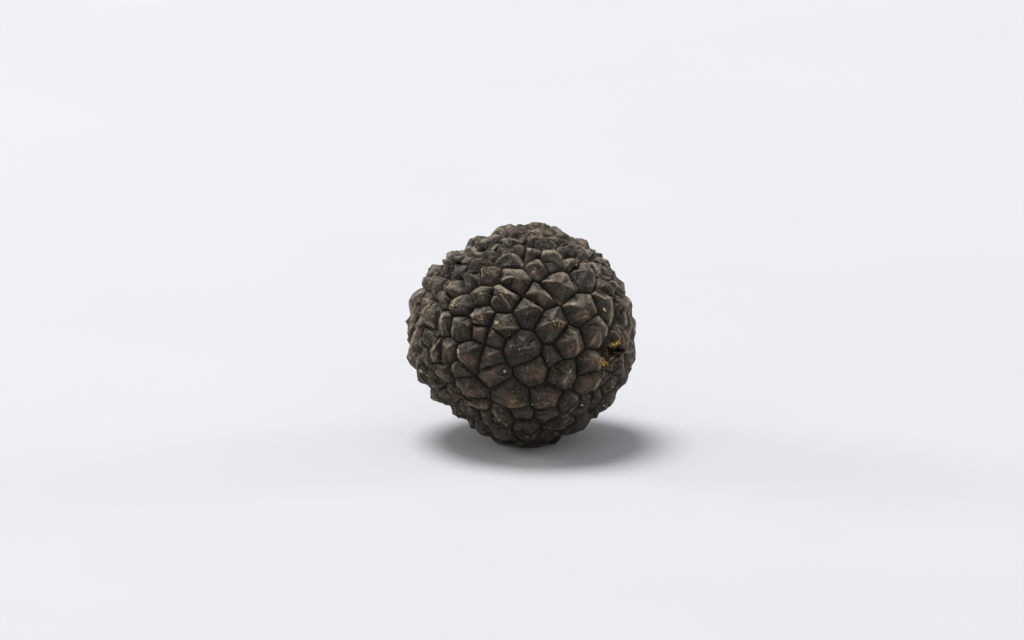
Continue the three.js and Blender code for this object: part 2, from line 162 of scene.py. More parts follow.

# Crests along the edges and folds of warts, pale partly from wear and partly as painted highlight: half
# width, paleness, then right and up of each point.
WORN_AND_LIT_CRESTS: Rows = (
    (0.25, 0.7, -13.9, 12.4, -12.9, 13.3, -12.3, 14.2, -11.2, 14.8, -10.2, 14.7),
    (0.25, 0.8, -10.3, 14.2, -9.6, 15, -8.9, 15.1, -8, 14.4, -7.3, 13.8),
    (0.16, 0.8, -10.2, 12.5, -9.5, 13.1, -8.5, 13.1, -6.6, 13.1, -5.8, 12.6, -5, 12.1),
    (0.18, 0.9, -5, 14.6, -4.2, 15.6, -3.5, 16.2, -2.7, 16.5, -1.9, 16.4, -0.8, 16.1, -0.2, 15.9),
    (0.2, 0.9, -6.8, 16.2, -6, 16.4, -5.2, 16.8, -4.5, 17.1, -3.2, 16.8),
    (0.22, 0.8, -5.3, 17.3, -4.6, 18.1, -3.9, 18.3, -3.2, 18),
    (0.25, 0.8, -2.6, 18.4, -1.9, 19, -1, 19.3, -0.1, 19.2),
    (0.22, 0.8, -1.9, 14, -1.2, 13.5, -0.6, 12.8, -0.1, 12.1, 0.3, 11.5),
    (0.2, 0.7, -4.6, 12.2, -4.1, 13.2, -3.4, 13.9, -2.5, 14.3, -1.9, 14),
    (0.2, 0.75, -2, 14.3, -1.3, 15.1, -0.6, 15.3, 0.1, 15),
    (0.22, 0.8, -6.9, 11.1, -6.3, 11.5, -5.3, 11.7, -4.2, 11.5, -3.3, 11),
    (0.15, 0.6, -6.8, 10.8, -7, 9.9, -7.3, 8.9), (0.3, 0.6, -2.9, 11, -0.1, 10.9, 0.6, 10.5, 1.4, 9.8),
    (0.15, 0.8, -3.6, 9.4, -2.8, 9.8, -1.6, 10, -0.7, 9.6, 0.3, 9.8, 1.3, 9.8),
    (0.12, 0.7, -9.2, 10.9, -8.2, 11, -7.2, 10.9),
    (0.3, 0.7, -0.2, 16.3, 0.3, 17, 1.3, 17.6, 2.2, 17.8, 3.4, 17.7, 4.6, 17.5, 5.2, 17.2, 5.6, 16.6),
    (0.16, 0.6, 1, 16.4, 1.8, 17, 2.4, 16.6, 3.2, 16.9, 4.2, 16.5, 4.9, 16.6),
    (0.22, 0.7, 5, 16.2, 5.4, 15.6, 5.9, 15),
    (0.25, 0.7, 2.3, 19.1, 3.4, 19.3, 4.6, 19, 5.6, 18.6, 6.2, 18.1),
    (0.25, 0.85, 6.1, 14.7, 6.8, 15.3, 7.6, 15.7, 8.6, 15.7, 9.2, 15.5),
    (0.2, 0.7, 9.3, 15.3, 10.2, 15.2, 10.8, 14.9, 11.2, 14.2, 11.5, 13.6),
    (0.25, 0.8, 8.6, 17, 9.4, 16.7, 10.2, 16.2, 10.8, 15.6, 11.1, 15),
    (0.2, 0.7, 12, 15.1, 12.8, 15, 13, 14.2),
    (0.22, 1, 3.4, 14, 3.8, 14.4, 4.8, 14.3, 5.8, 14.1, 6.4, 13.6, 6.9, 12.9, 7, 12.2),
    (0.18, 0.8, 0.7, 14.8, 1.4, 14.7, 2.2, 14.3, 3, 14.3),
    (0.2, 0.8, 0.4, 11.9, 1.3, 12.4, 2.4, 12.9, 3, 12.6, 3.4, 12),
    (0.22, 0.75, 7.3, 12.6, 8.2, 12.9, 9.2, 12.8, 9.8, 12.4),
    (0.2, 0.85, 10.1, 12.4, 11.2, 12.5, 12.2, 12.3, 12.8, 11.6, 13.2, 10.8, 13.1, 10),
    (0.15, 0.7, 11.9, 11.2, 12.3, 10.4, 12.4, 9.4, 12.3, 8.7),
    (0.2, 0.7, 12.2, 12.9, 13.6, 13.2, 14.4, 12.9),
    (0.2, 0.6, 5.3, 10.2, 6.7, 10.8, 7.6, 10.3, 8.2, 9.2, 9.2, 7.9),
    (0.14, 0.7, 3.5, 9.3, 4.6, 9.3, 5.4, 9.4), (0.12, 0.5, 7, 8.6, 8.2, 8.3, 9.1, 7.8),
    (0.2, 0.9, 12.2, 7.1, 13, 7.6, 13.9, 7.2, 14.8, 6.5, 15.3, 5.7, 15.5, 4.6, 15.4, 3.4, 15.2, 2.3, 14.9,
     1.6), (0.1, 0.7, 12.9, 7, 13.6, 6.6, 14.2, 6.2),
    (0.16, 0.8, 15, 9.4, 15.9, 9.1, 16.2, 8.5, 17, 8.2, 17.6, 7.6, 18, 6.8, 18.4, 6.3, 18.7, 5.7),
    (0.14, 0.6, 13.4, 9.8, 14.3, 9.9, 15.1, 9.7), (0.1, 0.6, 16, 8.2, 15.8, 7.4, 15.6, 6.7),
    (0.14, 0.7, 18.6, 6.2, 18.3, 5.4, 17.9, 4.6, 17.7, 3.6, 17.8, 2.6, 17.9, 1.8),
    (0.16, 0.9, 19.2, 5.2, 19.4, 4.4, 19.5, 3.2, 19.4, 2, 19.3, 1, 19.5, 0.2, 19.8, -0.6, 19.8, -1.6),
    (0.12, 0.7, 18.5, 4.6, 18.4, 3.6, 18.7, 2.6, 18.9, 1.6, 18.6, 0.8, 18.3, 0, 18.5, -0.9, 19.1, -1.4),
    (0.14, 0.7, 16.2, 1.6, 16.8, 1.6, 17.4, 0.9, 17.9, 0.2, 18.2, -0.8, 18.1, -1.8, 18, -2.9),
    (0.1, 0.6, 15.2, 0.8, 16, 0.5, 16.7, -0.2), (0.1, 0.6, 16.4, 1, 17, 0.4, 17.4, -0.5, 17.5, -1.4),
    (0.12, 0.6, 17.2, -4, 17, -3.4, 17.6, -3, 18.6, -2.9, 19.3, -2.5),
    (0.22, 0.7, 11.6, 2.7, 13, 3.1, 13.6, 2.5, 14.4, 1.2, 14.6, 0.8, 14.3, 0),
    (0.12, 0.6, 13.2, 0.6, 12.7, -0.2, 12.2, -0.9, 11.8, -1.6),
    (0.14, 0.6, 13.4, 0.2, 13.6, -1, 13.2, -1.9), (0.1, 0.5, 11.9, 1.3, 12.6, 1.2, 13.3, 1.3),
    (0.2, 0.8, 6.9, 5.1, 8, 5.4, 8.9, 5.3, 9.8, 5, 10.6, 5),
    (0.2, 0.55, 11.5, 6.8, 11.9, 5.8, 12.4, 4.6, 12.7, 4),
    (0.18, 0.5, 9, 3.2, 10, 3.7, 10.7, 4.1, 11.3, 3.9), (0.18, 0.5, 9.3, 2.7, 10.6, 3.2, 11.2, 3.2),
    (0.18, 0.6, 8.2, 0.7, 9, 0.4, 9.4, -0.4, 9.5, -1.3, 9.7, -2.2, 9.4, -3),
    (0.2, 0.7, -16.9, 9.2, -16.6, 10, -16.1, 10.5, -15.7, 10.8, -15.3, 11.6, -14.9, 12, -14, 12.1),
    (0.25, 0.7, -18.9, 6.4, -18.3, 6.9, -17.4, 7.5, -16.8, 7.7),
    (0.2, 0.7, -19.3, 5.2, -19.1, 3.8, -18.9, 2.6),
    (0.14, 0.8, -18.4, 5.6, -18.4, 5, -18.8, 4.1, -18.6, 3.2),
    (0.14, 0.6, -18.4, 5.7, -17.6, 5.9, -16.8, 6.2, -16.2, 6),
    (0.25, 1, -17.3, 3.4, -16.6, 4.3, -16, 5, -15.5, 5.4), (0.1, 0.6, -16.8, 3.2, -16, 3.6, -15.2, 3.9),
    (0.1, 0.6, -16.7, 2.9, -15.8, 3, -15, 3.4), (0.25, 0.5, -16.8, 2.6, -16.2, 2.2, -15.2, 1.5),
    (0.14, 0.8, -17.9, 1.2, -17.5, 2.2, -17.3, 2.8), (0.16, 0.8, -19.9, 0, -19.3, 0.9, -18.9, 1.9),
    (0.2, 1, -19.4, -3.2, -19.2, -1.8, -18.8, -0.7, -18.4, 0.3, -18, 1),
    (0.14, 0.7, -19.4, -3, -19.4, -3.8, -19.1, -4.2),
    (0.18, 0.7, -16, 7.8, -15.9, 8.9, -15.4, 9.8, -14.8, 10.4),
    (0.14, 0.8, -13.2, 7.8, -13.2, 8.6, -12.7, 9.1, -12.1, 9.3, -11, 9.3),
    (0.14, 0.9, -12.8, 8.2, -12.1, 8, -11.3, 7.8, -10.7, 7.4),
    (0.18, 0.8, -14.3, 6.4, -14, 7.1, -13.4, 7.5, -13.4, 6.9, -13.6, 6),
    (0.2, 0.8, -12.4, 4.8, -12.1, 5.4, -11.6, 6, -11, 6.4, -10.4, 6.8),
    (0.2, 1, -13.9, 2.2, -13.9, 2.8, -13.7, 3.3, -13.2, 3.6, -12.6, 3.6),
    (0.14, 0.7, -13.6, 0.2, -13.8, 0.9, -13.9, 1.7),
    (0.16, 0.5, -11.9, -0.6, -12, 0.6, -12, 1.8, -11.8, 2.6),
    (0.16, 0.7, -18.1, -5.3, -18, -4.6, -17.8, -4, -17.6, -3.4),
    (0.1, 0.6, -17.5, -1.6, -17, -2.2, -16.4, -2.8), (0.14, 0.6, -17.2, -0.6, -17.5, -1.2, -17.5, -1.7),
    (0.16, 0.8, -15.1, -4.6, -15.5, -3.6, -15.4, -3, -15.1, -2.2, -15.2, -1.3, -14.8, -0.5),
    (0.12, 0.7, -15, -2.3, -14.6, -3.2, -14.9, -3.8, -15.2, -4.3),
    (0.1, 0.5, -13.9, -4.4, -13.2, -4.8, -12.6, -5), (0.1, 0.6, -15.1, -5.2, -14.9, -6, -14.6, -6.6),
    (0.12, 0.5, -14.2, -7, -13.8, -7.8, -13.2, -8.2), (0.16, 0.7, -12, -6, -11.8, -5.4, -11.4, -4.6),
    (0.14, 0.8, -11, -3, -10.8, -3.8, -10.3, -4.7), (0.12, 0.5, -11.3, -8.4, -11.1, -9.1, -10.9, -9.7),
    (0.12, 0.4, -12.3, -9.9, -11.8, -10.8, -10.8, -11.3),
    (0.16, 0.65, -8.7, 7, -7.9, 7.8, -7.3, 8.2, -6.2, 8.3, -5.3, 8.3),
    (0.22, 0.8, -4.9, 8.2, -4.1, 8.4, -3.5, 8.1, -2.6, 7.6, -1.8, 7, -0.9, 6.3),
    (0.14, 0.6, -8.7, 6.9, -8.5, 6, -8.3, 5.4), (0.14, 0.5, -5.3, 5.4, -4.9, 6.3, -4.3, 6.7),
    (0.14, 0.45, -3.3, 6.5, -2.6, 5.6, -2, 4.6),
    (0.12, 0.5, -5.2, 1.4, -4.4, 1.2, -3.3, 1.3, -2, 1.3, -0.7, 1.2),
    (0.14, 0.5, -5.5, -0.1, -4.9, 0.7, -4.4, 1.3), (0.1, 0.4, -8.6, 2.3, -7.6, 2.1, -6.8, 2.2),
    (0.16, 0.4, -5, 4.1, -5.8, 4),
    (0.16, 0.75, 0.6, 7, 1.6, 7.3, 2.4, 7.4, 3.6, 7.3, 4, 7.3, 4.8, 6.6, 5.6, 5.9, 6.4, 5.4),
    (0.14, 0.65, 0.3, 6.5, 1, 6, 1.8, 5.6, 2.5, 5, 3.4, 4.4), (0.12, 0.4, 0.8, 3.6, 1.1, 4, 1.8, 4.1),
    (0.16, 0.4, -9.9, -11.3, -9.2, -11.8, -7.8, -12.2, -6, -12.5),
    (0.16, 0.4, -4.8, -12, -3, -12.3, -1.5, -12.4, 0, -12.2),
    (0.16, 0.5, -4.8, -13, -4.4, -14.2, -4, -14.6, -3.2, -15.2, -2.6, -15.6),
    (0.16, 0.4, 3, -12.5, 4.4, -12.4, 5.4, -12.1, 5.9, -11.5),
    (0.22, 0.6, 13.4, -3.8, 13.4, -5, 13.2, -5.9), (0.16, 0.4, 11.6, -3.5, 12.6, -3.4),
    (0.16, 0.9, 14, -6, 13.9, -6.8, 13.5, -7.6, 13.1, -8.2, 12.4, -9.4),
    (0.18, 0.7, 8.3, -6, 7.9, -6.8, 7.4, -7.6, 7.3, -8),
    (0.16, 0.5, 8.5, -10.2, 9.4, -10.7, 9.6, -11.3, 9, -12.2, 8.4, -13, 7.6, -13.8),
    (0.14, 0.6, 17.2, -5, 17.5, -5.8, 17.3, -7.2), (0.14, 0.6, 18.8, -4.2, 18.9, -5.2, 18.3, -6.4),
    (0.16, 0.45, 15.5, -8, 15.6, -9), (0.14, 0.5, 16.1, -5.4, 15.6, -4.7, 16.3, -4.2, 17.2, -4),
)
WORM_HOLE = (-10.85, 12.1, 0.4)  # right, up, radius
ROT_HOLLOW = (15.65, -2.75, 1.65, 1.0)  # right, up, half breadth, half height

# Places where the warts stand up less or more: right, up, radius, share of their relief.
RELIEF_PLACES: Rows = (
    (19.2, -2.5, 4.5, 0.35), (19.4, 3, 4, 0.5), (17.5, -9, 4, 0.55), (16.5, 8.5, 3.5, 0.75),
    (-19.5, 1, 4.5, 0.65), (-0.5, -2.5, 9, 0.75), (7.3, 17.4, 1.7, 0.35),
)

# Where golden dust and crumbs lie thickest: right, up, radius.
DUST_PATCHES: Rows = (
    (-11.8, 5.2, 0.8), (-11.2, 5.2, 0.4), (-8.4, 3.5, 0.6), (-7.2, 3.1, 0.6), (-6.6, 2.8, 0.4),
    (-4.4, 2.1, 0.5), (5.5, 2.3, 0.5), (6.9, 1.9, 0.7), (-3.2, 7, 0.9), (-13.7, 3, 0.6), (4.1, -11.8, 0.5),
    (8.1, -6.3, 0.6), (-13.3, 11.3, 0.7), (-12.7, 10.7, 0.5), (-7.4, 7.3, 0.8), (-6.2, 11.1, 0.8),
    (-12.4, 8.1, 0.5), (9.2, 12.1, 0.5), (12.3, 9.1, 0.4), (4.6, 14.2, 0.6), (3.2, 10.4, 0.5),
    (2.1, 10.9, 0.5), (8.9, 5.5, 0.5), (11.4, 5.5, 0.6), (4.3, -5.2, 0.6), (-17.1, -6.3, 0.7),
    (-16.1, 4.9, 0.8), (1.8, 17.6, 0.9), (3.8, 17.4, 0.9), (-4.7, 17.6, 0.6), (18.6, 6, 0.4),
    (12.4, 14.9, 0.5), (-15.1, 9.4, 0.6), (-16.7, 6.3, 0.4), (1.9, 5.6, 0.4), (-14.4, -0.8, 0.6),
    (-15.2, -3.6, 0.6), (14.1, 4.4, 0.4), (7.6, -7.7, 0.5), (-1.5, -11.2, 0.5),
)

# Where the rind is rusty brown: right, up, radius.
RUST_PATCHES: Rows = (
    (-5.2, -6.3, 0.8), (1.7, -5.9, 0.6), (3.3, -6.3, 0.8), (2.3, -7.1, 0.8), (-9.9, -4.1, 0.8),
    (-8.6, -4.9, 0.6), (-1.8, -11.3, 1.1), (-6.9, -12.3, 1.1), (12.1, -4.2, 1.2), (4.6, -12.2, 0.9),
    (4.3, -9.9, 0.5), (9, -1.8, 0.9), (4.6, 9.3, 0.7), (4.1, 12.9, 0.5), (2.6, 10.8, 0.9),
    (-9.6, -9.9, 1.2), (11.3, -8.3, 0.9), (9.6, -9.6, 0.8), (9.1, -10.8, 0.6), (-6.1, -7.6, 0.7),
    (-18.6, 4.4, 0.9), (5.7, 1, 0.6), (-5.5, -3.4, 0.8), (-2.9, 7.1, 0.7), (18.8, -2.6, 0.6),
    (16, -9.8, 0.7), (10.6, 3.6, 0.9), (12.5, -0.9, 0.9), (-7.6, 1, 0.9), (-13, 12.6, 0.8), (-15, 9.3, 0.8),
    (-15.4, 7.2, 0.6), (-0.9, 8.7, 0.9), (-8.2, 16.2, 0.8), (-12.7, -1.3, 0.6), (7.2, -8.2, 0.7),
    (-13.9, -7, 0.9), (6.2, 7.2, 0.8), (-14.4, -0.8, 0.6), (5, -10.6, 0.6), (-1.2, 2, 0.8),
)

# Crumbs of rotten flesh: right and up of one end of a strip, right and up of the other, how far the crumbs
# stray from it, their number, and the largest radius.
ROT_STRIPS: Rows = (
    (15.3, -1.75, 16.6, -1.2, 0.36, 44, 0.2), (16.4, -0.9, 16.7, -0.35, 0.18, 8, 0.13),
    (13.6, -4.1, 14.2, -5.1, 0.34, 36, 0.2), (14.2, -5.2, 14.8, -4.7, 0.16, 12, 0.16),
    (16.3, -3.05, 15, -4.4, 0.1, 20, 0.14), (14.4, -2.6, 14.6, -3.3, 0.16, 6, 0.1),
)

# Grains of pale soil on the show face: right, up, radius. Those of ochre soil follow in the same way.
PALE_GRAINS: Rows = (
    (-2.93, -6.2, 0.19), (9, 5.45, 0.26), (8.7, 5.3, 0.18), (-13.7, 3.1, 0.22), (-13.6, 2.7, 0.24),
    (-17.3, -6.2, 0.25), (-14.4, -6.85, 0.19), (-16.4, -6.9, 0.19), (-4, -14.55, 0.22), (14.1, -12.2, 0.22),
    (10.3, -12, 0.18), (16.3, 8.5, 0.22), (-1.85, -1.95, 0.16), (-0.5, -2.5, 0.15), (1.9, 5.6, 0.2),
    (-1.65, -9.65, 0.14), (16.65, -3.15, 0.2), (4.4, -4.3, 0.15), (4.45, -3.6, 0.12), (-1.65, -0.85, 0.13),
    (1.4, -1.45, 0.12), (-5.5, -0.1, 0.14), (-11.2, 5.2, 0.15), (-8.4, 3.8, 0.16), (-3.6, 7, 0.16),
    (-7.2, 7.6, 0.14), (-9.2, -1.9, 0.12), (10.4, 6.3, 0.13), (4.1, -11.7, 0.14), (-0.7, -1.7, 0.1),
    (-12.6, 8.1, 0.14), (-13.4, 11.4, 0.16), (-12.65, 10.7, 0.15), (7.4, -11.7, 0.12), (-4.2, 1.2, 0.12),
)
OCHRE_GRAINS: Rows = (
    (-10.85, -2.6, 0.33), (-10.9, -2.95, 0.26), (-11.9, 5.1, 0.2), (-11.6, 5.5, 0.16), (-8.5, 3.3, 0.18),
    (14.1, 4.35, 0.27), (14.3, 4.25, 0.18), (-4.4, 2.1, 0.2), (-4.6, 2.05, 0.15), (-4.2, 2.2, 0.14),
    (5.4, 2.35, 0.14), (9.2, 12.1, 0.24), (9.3, 11.9, 0.18), (-16.1, 4.9, 0.2), (-2.8, 7.1, 0.17),
    (-17.1, -6.4, 0.18), (5.5, -8.6, 0.12), (8.2, -6.2, 0.16), (18.65, 6, 0.18),
)

# ---- seeded chance and smooth noise


class Use(IntEnum):
    """What one of a wart's or a sector's random values is for."""

    JOSTLE_ACROSS = 1
    JOSTLE_UP = 2
    JOSTLE_OUT = 3
    BREADTH = 4
    TIP_CORNER = 5
    TIP_REACH = 6
    RISE = 7
    CROWN = 8
    TERRACE = 9
    BOW = 11
    FISSURE = 12
    FISSURE_LINE = 13
    FISSURE_START = 14
    WART_TONE = 21
    FACET_TONE = 22
    LAYERING = 23


def scatter(place: int, use: Use) -> float:
    """Gives a number from 0 to 1, always the same for the same wart and use.

    Args:
        place: The wart's place in the list.
        use: Which of the wart's random values is wanted.

    Returns:
        The number.
    """
    by_place, by_use, height = SCATTERING
    wave = math.sin(place * by_place + use * by_use) * height
    return wave - math.floor(wave)


def scatter_row(count: int, use: Use) -> Floats:
    """Gives such a number for each of the first places."""
    return np.array([scatter(place, use) for place in range(count)])


def scatter_pairs(first: Wholes, second: Wholes) -> Floats:
    """Gives a number from 0 to 1 for each pair of whole numbers, always the same for the same pair.

    Args:
        first: One whole number of each pair.
        second: The other.

    Returns:
        One number a pair.
    """
    by_first, by_second, height = SCATTERING
    wave = np.sin(first * by_first + second * by_second) * height
    return wave - np.floor(wave)


def smooth_noise(points: Floats, wavelength: float, offset: float = 0.0) -> Floats:
    """Gives smooth noise from about -1 to 1 at each point, which another offset makes different."""
    return np.array([noise.noise(point) for point in (points / wavelength + offset).tolist()])


def smooth_drift(points: Floats, wavelength: float) -> Floats:
    """Gives a smoothly changing vector at each point, each part from about -1 to 1."""
    return np.array([tuple(noise.noise_vector(point)) for point in (points / wavelength).tolist()])


def unit(vectors: Floats) -> Floats:
    """Gives the same vectors with a length of one."""
    return vectors / np.linalg.norm(vectors, axis=-1, keepdims=True)


def smoothstep(low: float, high: float, values: Floats) -> Floats:
    """Gives 0 below low, 1 above high and a smooth rise between them."""
    share = np.clip((values - low) / (high - low), 0, 1)
    return share * share * (3 - 2 * share)


def hump(away: Floats, radius: float) -> Floats:
    """Gives 1 where the distance is 0, falling off smoothly over a radius."""
    return np.exp(-((away / radius) ** 2))


def away_from_line(places: Floats, start: Floats, end: Floats) -> Floats:
    """Gives the distance from each place to a straight line between two others.

    Args:
        places: The places, one a row.
        start: One end of the line.
        end: Its other end.

    Returns:
        One distance a place.
    """
    run = end - start
    share = np.clip((places - start) @ run / (run @ run), 0, 1)
    return np.linalg.norm(places - start - share[:, None] * run, axis=1)


# ---- the ball's broad form


@dataclass(frozen=True)
class BallForm:
    """The ball that the wart tips reach to, before it has any warts.

    The outline holds the radius every 30 degrees round the show face, anticlockwise from the right.
    """

    outline: tuple[float, ...] = (19.9, 19.7, 19.5, 19.1, 18.4, 19.6, 20.1, 19.1, 18.3, 19.4, 19.3, 19.9)
    depth_radius: float = 19.2
    tilt: float = math.radians(15)
    rest_depth: float = 18.5
    edge_share: float = 0.995
    swellings: Rows = SWELLINGS

    def axes(self) -> Floats:
        """Gives the directions to the right, up the show face and straight out of it, one a row."""
        across, along = math.sin(self.tilt), math.cos(self.tilt)
        return np.array([[1, 0, 0], [0, across, along], [0, -along, across]])

    def from_face(self, parts: Floats) -> Floats:
        """Turns parts to the right, up and out of the show face into directions of the part's frame."""
        return parts @ self.axes()

    def to_face(self, directions: Floats) -> Floats:
        """Turns directions of the part's frame into parts to the right, up and out of the show face."""
        return directions @ self.axes().T

    def outline_radius(self, angles: Floats) -> Floats:
        """Gives the radius of a smooth closed curve through the outline's radii.

        Args:
            angles: Angles round the show face in radians, anticlockwise from the right.

        Returns:
            One radius an angle.
        """
        count = len(self.outline)
        radius = np.zeros_like(angles)
        for place, value in enumerate(self.outline):
            half = (angles - place / count * 2 * math.pi) / 2
            on_point = np.abs(np.sin(half)) < ON_POINT
            safe = np.where(on_point, 1.0, half)
            radius += value * np.where(on_point, 1.0, np.sin(count * safe) / (count * np.tan(safe)))
        return radius

    def swelling(self, directions: Floats) -> Floats:
        """Gives the height of the broad swellings and hollows in each direction.

        Args:
            directions: Unit vectors from the ball's centre, one a row.

        Returns:
            One height a direction.
        """
        height = np.zeros(len(directions))
        for right, up, show, radius, rise in self.swellings:
            centre = unit(self.from_face(np.array([right, up, show])))
            away = np.linalg.norm(directions - centre, axis=1) * self.depth_radius
            height += rise * hump(away, radius)
        return height

    def surface(self, directions: Floats, heights: Floats | float) -> Floats:
        """Gives the points in some directions at some heights above the surface of the wart tips.

        Args:
            directions: Unit vectors from the ball's centre, one a row.
            heights: One height for each, or one for all.

        Returns:
            The points, from the ball's centre.
        """
        parts = self.to_face(directions)
        radius = self.outline_radius(np.arctan2(parts[:, 1], parts[:, 0]))
        scale = np.stack([radius, radius, np.full(len(parts), self.depth_radius)], axis=1)
        points = self.from_face(parts * scale)
        length = np.linalg.norm(points, axis=1) + self.swelling(directions) + heights
        return unit(points) * length[:, None]

    def on_face(self, right: float, up: float, shift: float = 0.0) -> Floats:
        """Gives the direction from the ball's centre to a place on the show face.

        Args:
            right: The place to the right of the face's middle.
            up: The place above it.
            shift: How far a deeper thing is shifted outwards, as a share, so that it shows there.

        Returns:
            A unit vector.
        """
        angle = math.atan2(up, right)
        at_tips = min(math.hypot(right, up) / float(self.outline_radius(np.array([angle]))[0]), 1)
        share = min(at_tips * (1 + shift * (1 - at_tips**2)), self.edge_share)
        out = math.sqrt(1 - share**2)
        return self.from_face(np.array([share * math.cos(angle), share * math.sin(angle), out]))


# ---- where the warts stand


class WartKind(Enum):
    """What has become of a wart."""

    SOUND = "sound"
    ROTTED = "rotted out"


class SkinSide(Enum):
    """Which piece of the skin a wart is in."""

    LEFT = "left"
    RIGHT = "right"
    BACK = "back"


@dataclass
class Wart:
    """One wart: where it stands, where its tip is, and the corners of its cell."""

    centre: Floats
    breadth: float = 0.0
    tip: Floats | None = None
    kind: WartKind = WartKind.SOUND
    corners: list[int] = field(default_factory=list)
    size: float = 0.0
    variation: float = 1.0


def hull_triangles(points: Floats) -> Wholes:
    """Gives the triangles of the hull round some points.

    Args:
        points: The points, one a row, all of them on the hull.

    Returns:
        The places of the three points of each triangle, smallest first, and the triangles in that order
        too, so that they come out alike each time.
    """
    mesh = bmesh.new()
    for point in points:
        mesh.verts.new(point)
    mesh.verts.index_update()
    bmesh.ops.convex_hull(mesh, input=mesh.verts[:])
    bmesh.ops.triangulate(mesh, faces=mesh.faces[:])
    triangles = sorted(sorted(vertex.index for vertex in face.verts) for face in mesh.faces)
    mesh.free()
    return np.array(triangles)


@dataclass
class WartLayout:
    """The warts of the whole skin, which share the ball out between them.

    Those of the show face are listed, as are some of the corners between them. The hidden side has
    evenly spread ones, jostled a little and eased apart. Angles are in radians.
    """

    ball: BallForm
    spread_spots: int = 230
    spot_clearance: float = 0.2
    spot_limit: float = 0.12
    back_limit: float = -0.12
    spot_jostle: float = 0.1
    spot_breadth: float = 6.0
    easing_steps: int = 2
    tip_wander: float = 0.25
    rise_spread: float = 0.2
    furrow_shift: float = 0.06
    breadth_unit: float = 0.001
    corner_scale: float = 1.066
    corner_reach: float = 0.01
    layering_levels: Pair = (0.9, 0.5)
    warts: list[Wart] = field(default_factory=list)
    corners: Floats = field(default_factory=lambda: np.zeros((0, 3)))

    def lay_out(self) -> None:
        """Places every wart and works out its cell, its tip, its size and how high it is for its size."""
        placed = self._placed()
        hidden = self._hidden(placed)
        self.warts = placed + hidden
        for _ in range(self.easing_steps):
            self._find_cells()
            for wart in hidden:
                wart.centre = unit(self.corners[wart.corners].sum(axis=0))
        self._find_cells()
        self._move_corners()
        for place, wart in enumerate(self.warts):
            self._finish_wart(place, wart)

    def side_of(self, wart: Wart) -> SkinSide:
        """Gives the piece of the skin that a wart is in.

        Args:
            wart: The wart.

        Returns:
            The piece.
        """
        right, _, show = self.ball.to_face(wart.tip)
        if show < self.back_limit:
            return SkinSide.BACK
        return SkinSide.LEFT if right < 0 else SkinSide.RIGHT

    def tips(self) -> Floats:
        """Gives the direction of each wart's tip."""
        return np.array([wart.tip for wart in self.warts])

    def rotted(self) -> Flags:
        """Gives whether each wart is rotted out."""
        return np.array([wart.kind is WartKind.ROTTED for wart in self.warts])

    def layering(self) -> Floats:
        """Gives how far each wart shows the layers of its rind, from 0 to 1.

        Those round the edge of the show face do, and of the hidden side's, some do.

        Returns:
            One value a wart.
        """
        shares = []
        for place, wart in enumerate(self.warts):
            show = float(self.ball.to_face(wart.tip)[2])
            edge = float(smoothstep(*self.layering_levels, np.array(show)))
            shares.append(edge if show > 0 else scatter(place, Use.LAYERING))
        return np.array(shares)

    def _placed(self) -> list[Wart]:
        """Makes the warts of the show face, the rotted one and the one that the truffle stands on.

        Returns:
            The warts.
        """
        warts = []
        for right, up, *rest in SHOW_WARTS:
            breadth, tip_right, tip_up = (*rest, *(0, right, up)[len(rest):])
            centre = self.ball.on_face(right, up, self.furrow_shift)
            warts.append(Wart(centre, breadth, self.ball.on_face(tip_right, tip_up)))
        pit = self.ball.on_face(*PIT_PLACE, self.furrow_shift)
        warts.append(Wart(pit, tip=pit, kind=WartKind.ROTTED))
        down = np.array([0.0, 0.0, -1.0])
        warts.append(Wart(down, tip=down))
        return warts

    def _hidden(self, placed: list[Wart]) -> list[Wart]:
        """Makes the warts of the hidden side, which keep clear of the placed ones.

        Args:
            placed: The warts to keep clear of.

        Returns:
            The warts.
        """
        centres = np.array([wart.centre for wart in placed])
        show = self.ball.axes()[2]
        warts = []
        for place in range(self.spread_spots):
            spot = self._spread_spot(place)
            nearest = math.acos(min(float((centres @ spot).max()), 1.0))
            if nearest > self.spot_clearance and float(spot @ show) < self.spot_limit:
                warts.append(Wart(spot, self.spot_breadth * scatter(place, Use.BREADTH)))
        return warts

    def _spread_spot(self, place: int) -> Floats:
        """Gives one spot of an even spiral from the show face round to the back, jostled a little.

        Args:
            place: Its place in the spiral.

        Returns:
            Its direction from the ball's centre.
        """
        show = 1 - (2 * place + 1) / self.spread_spots
        turn = place * math.pi * (3 - math.sqrt(5))
        around = math.sqrt(1 - show**2)
        spot = self.ball.from_face(np.array([around * math.cos(turn), around * math.sin(turn), show]))
        uses = (Use.JOSTLE_ACROSS, Use.JOSTLE_UP, Use.JOSTLE_OUT)
        jostle = np.array([scatter(place, use) for use in uses]) - 0.5
        return unit(spot + jostle * 2 * self.spot_jostle)

    def _find_cells(self) -> None:
        """Works out the corners of every wart's cell, in order round it, anticlockwise from outside."""
        heads = np.array([wart.centre * (1 + wart.breadth * self.breadth_unit) for wart in self.warts])
        triangles = hull_triangles(heads)
        first, second, third = (heads[triangles[:, side]] for side in range(3))
        facing = unit(np.cross(second - first, third - first))
        outward = np.sign((facing * first).sum(axis=1))
        self.corners = facing * outward[:, None]
        for wart in self.warts:
            wart.corners = []
        for corner, triangle in enumerate(triangles):
            for place in triangle:
                self.warts[place].corners.append(corner)
        for wart in self.warts:
            self._put_in_order(wart)

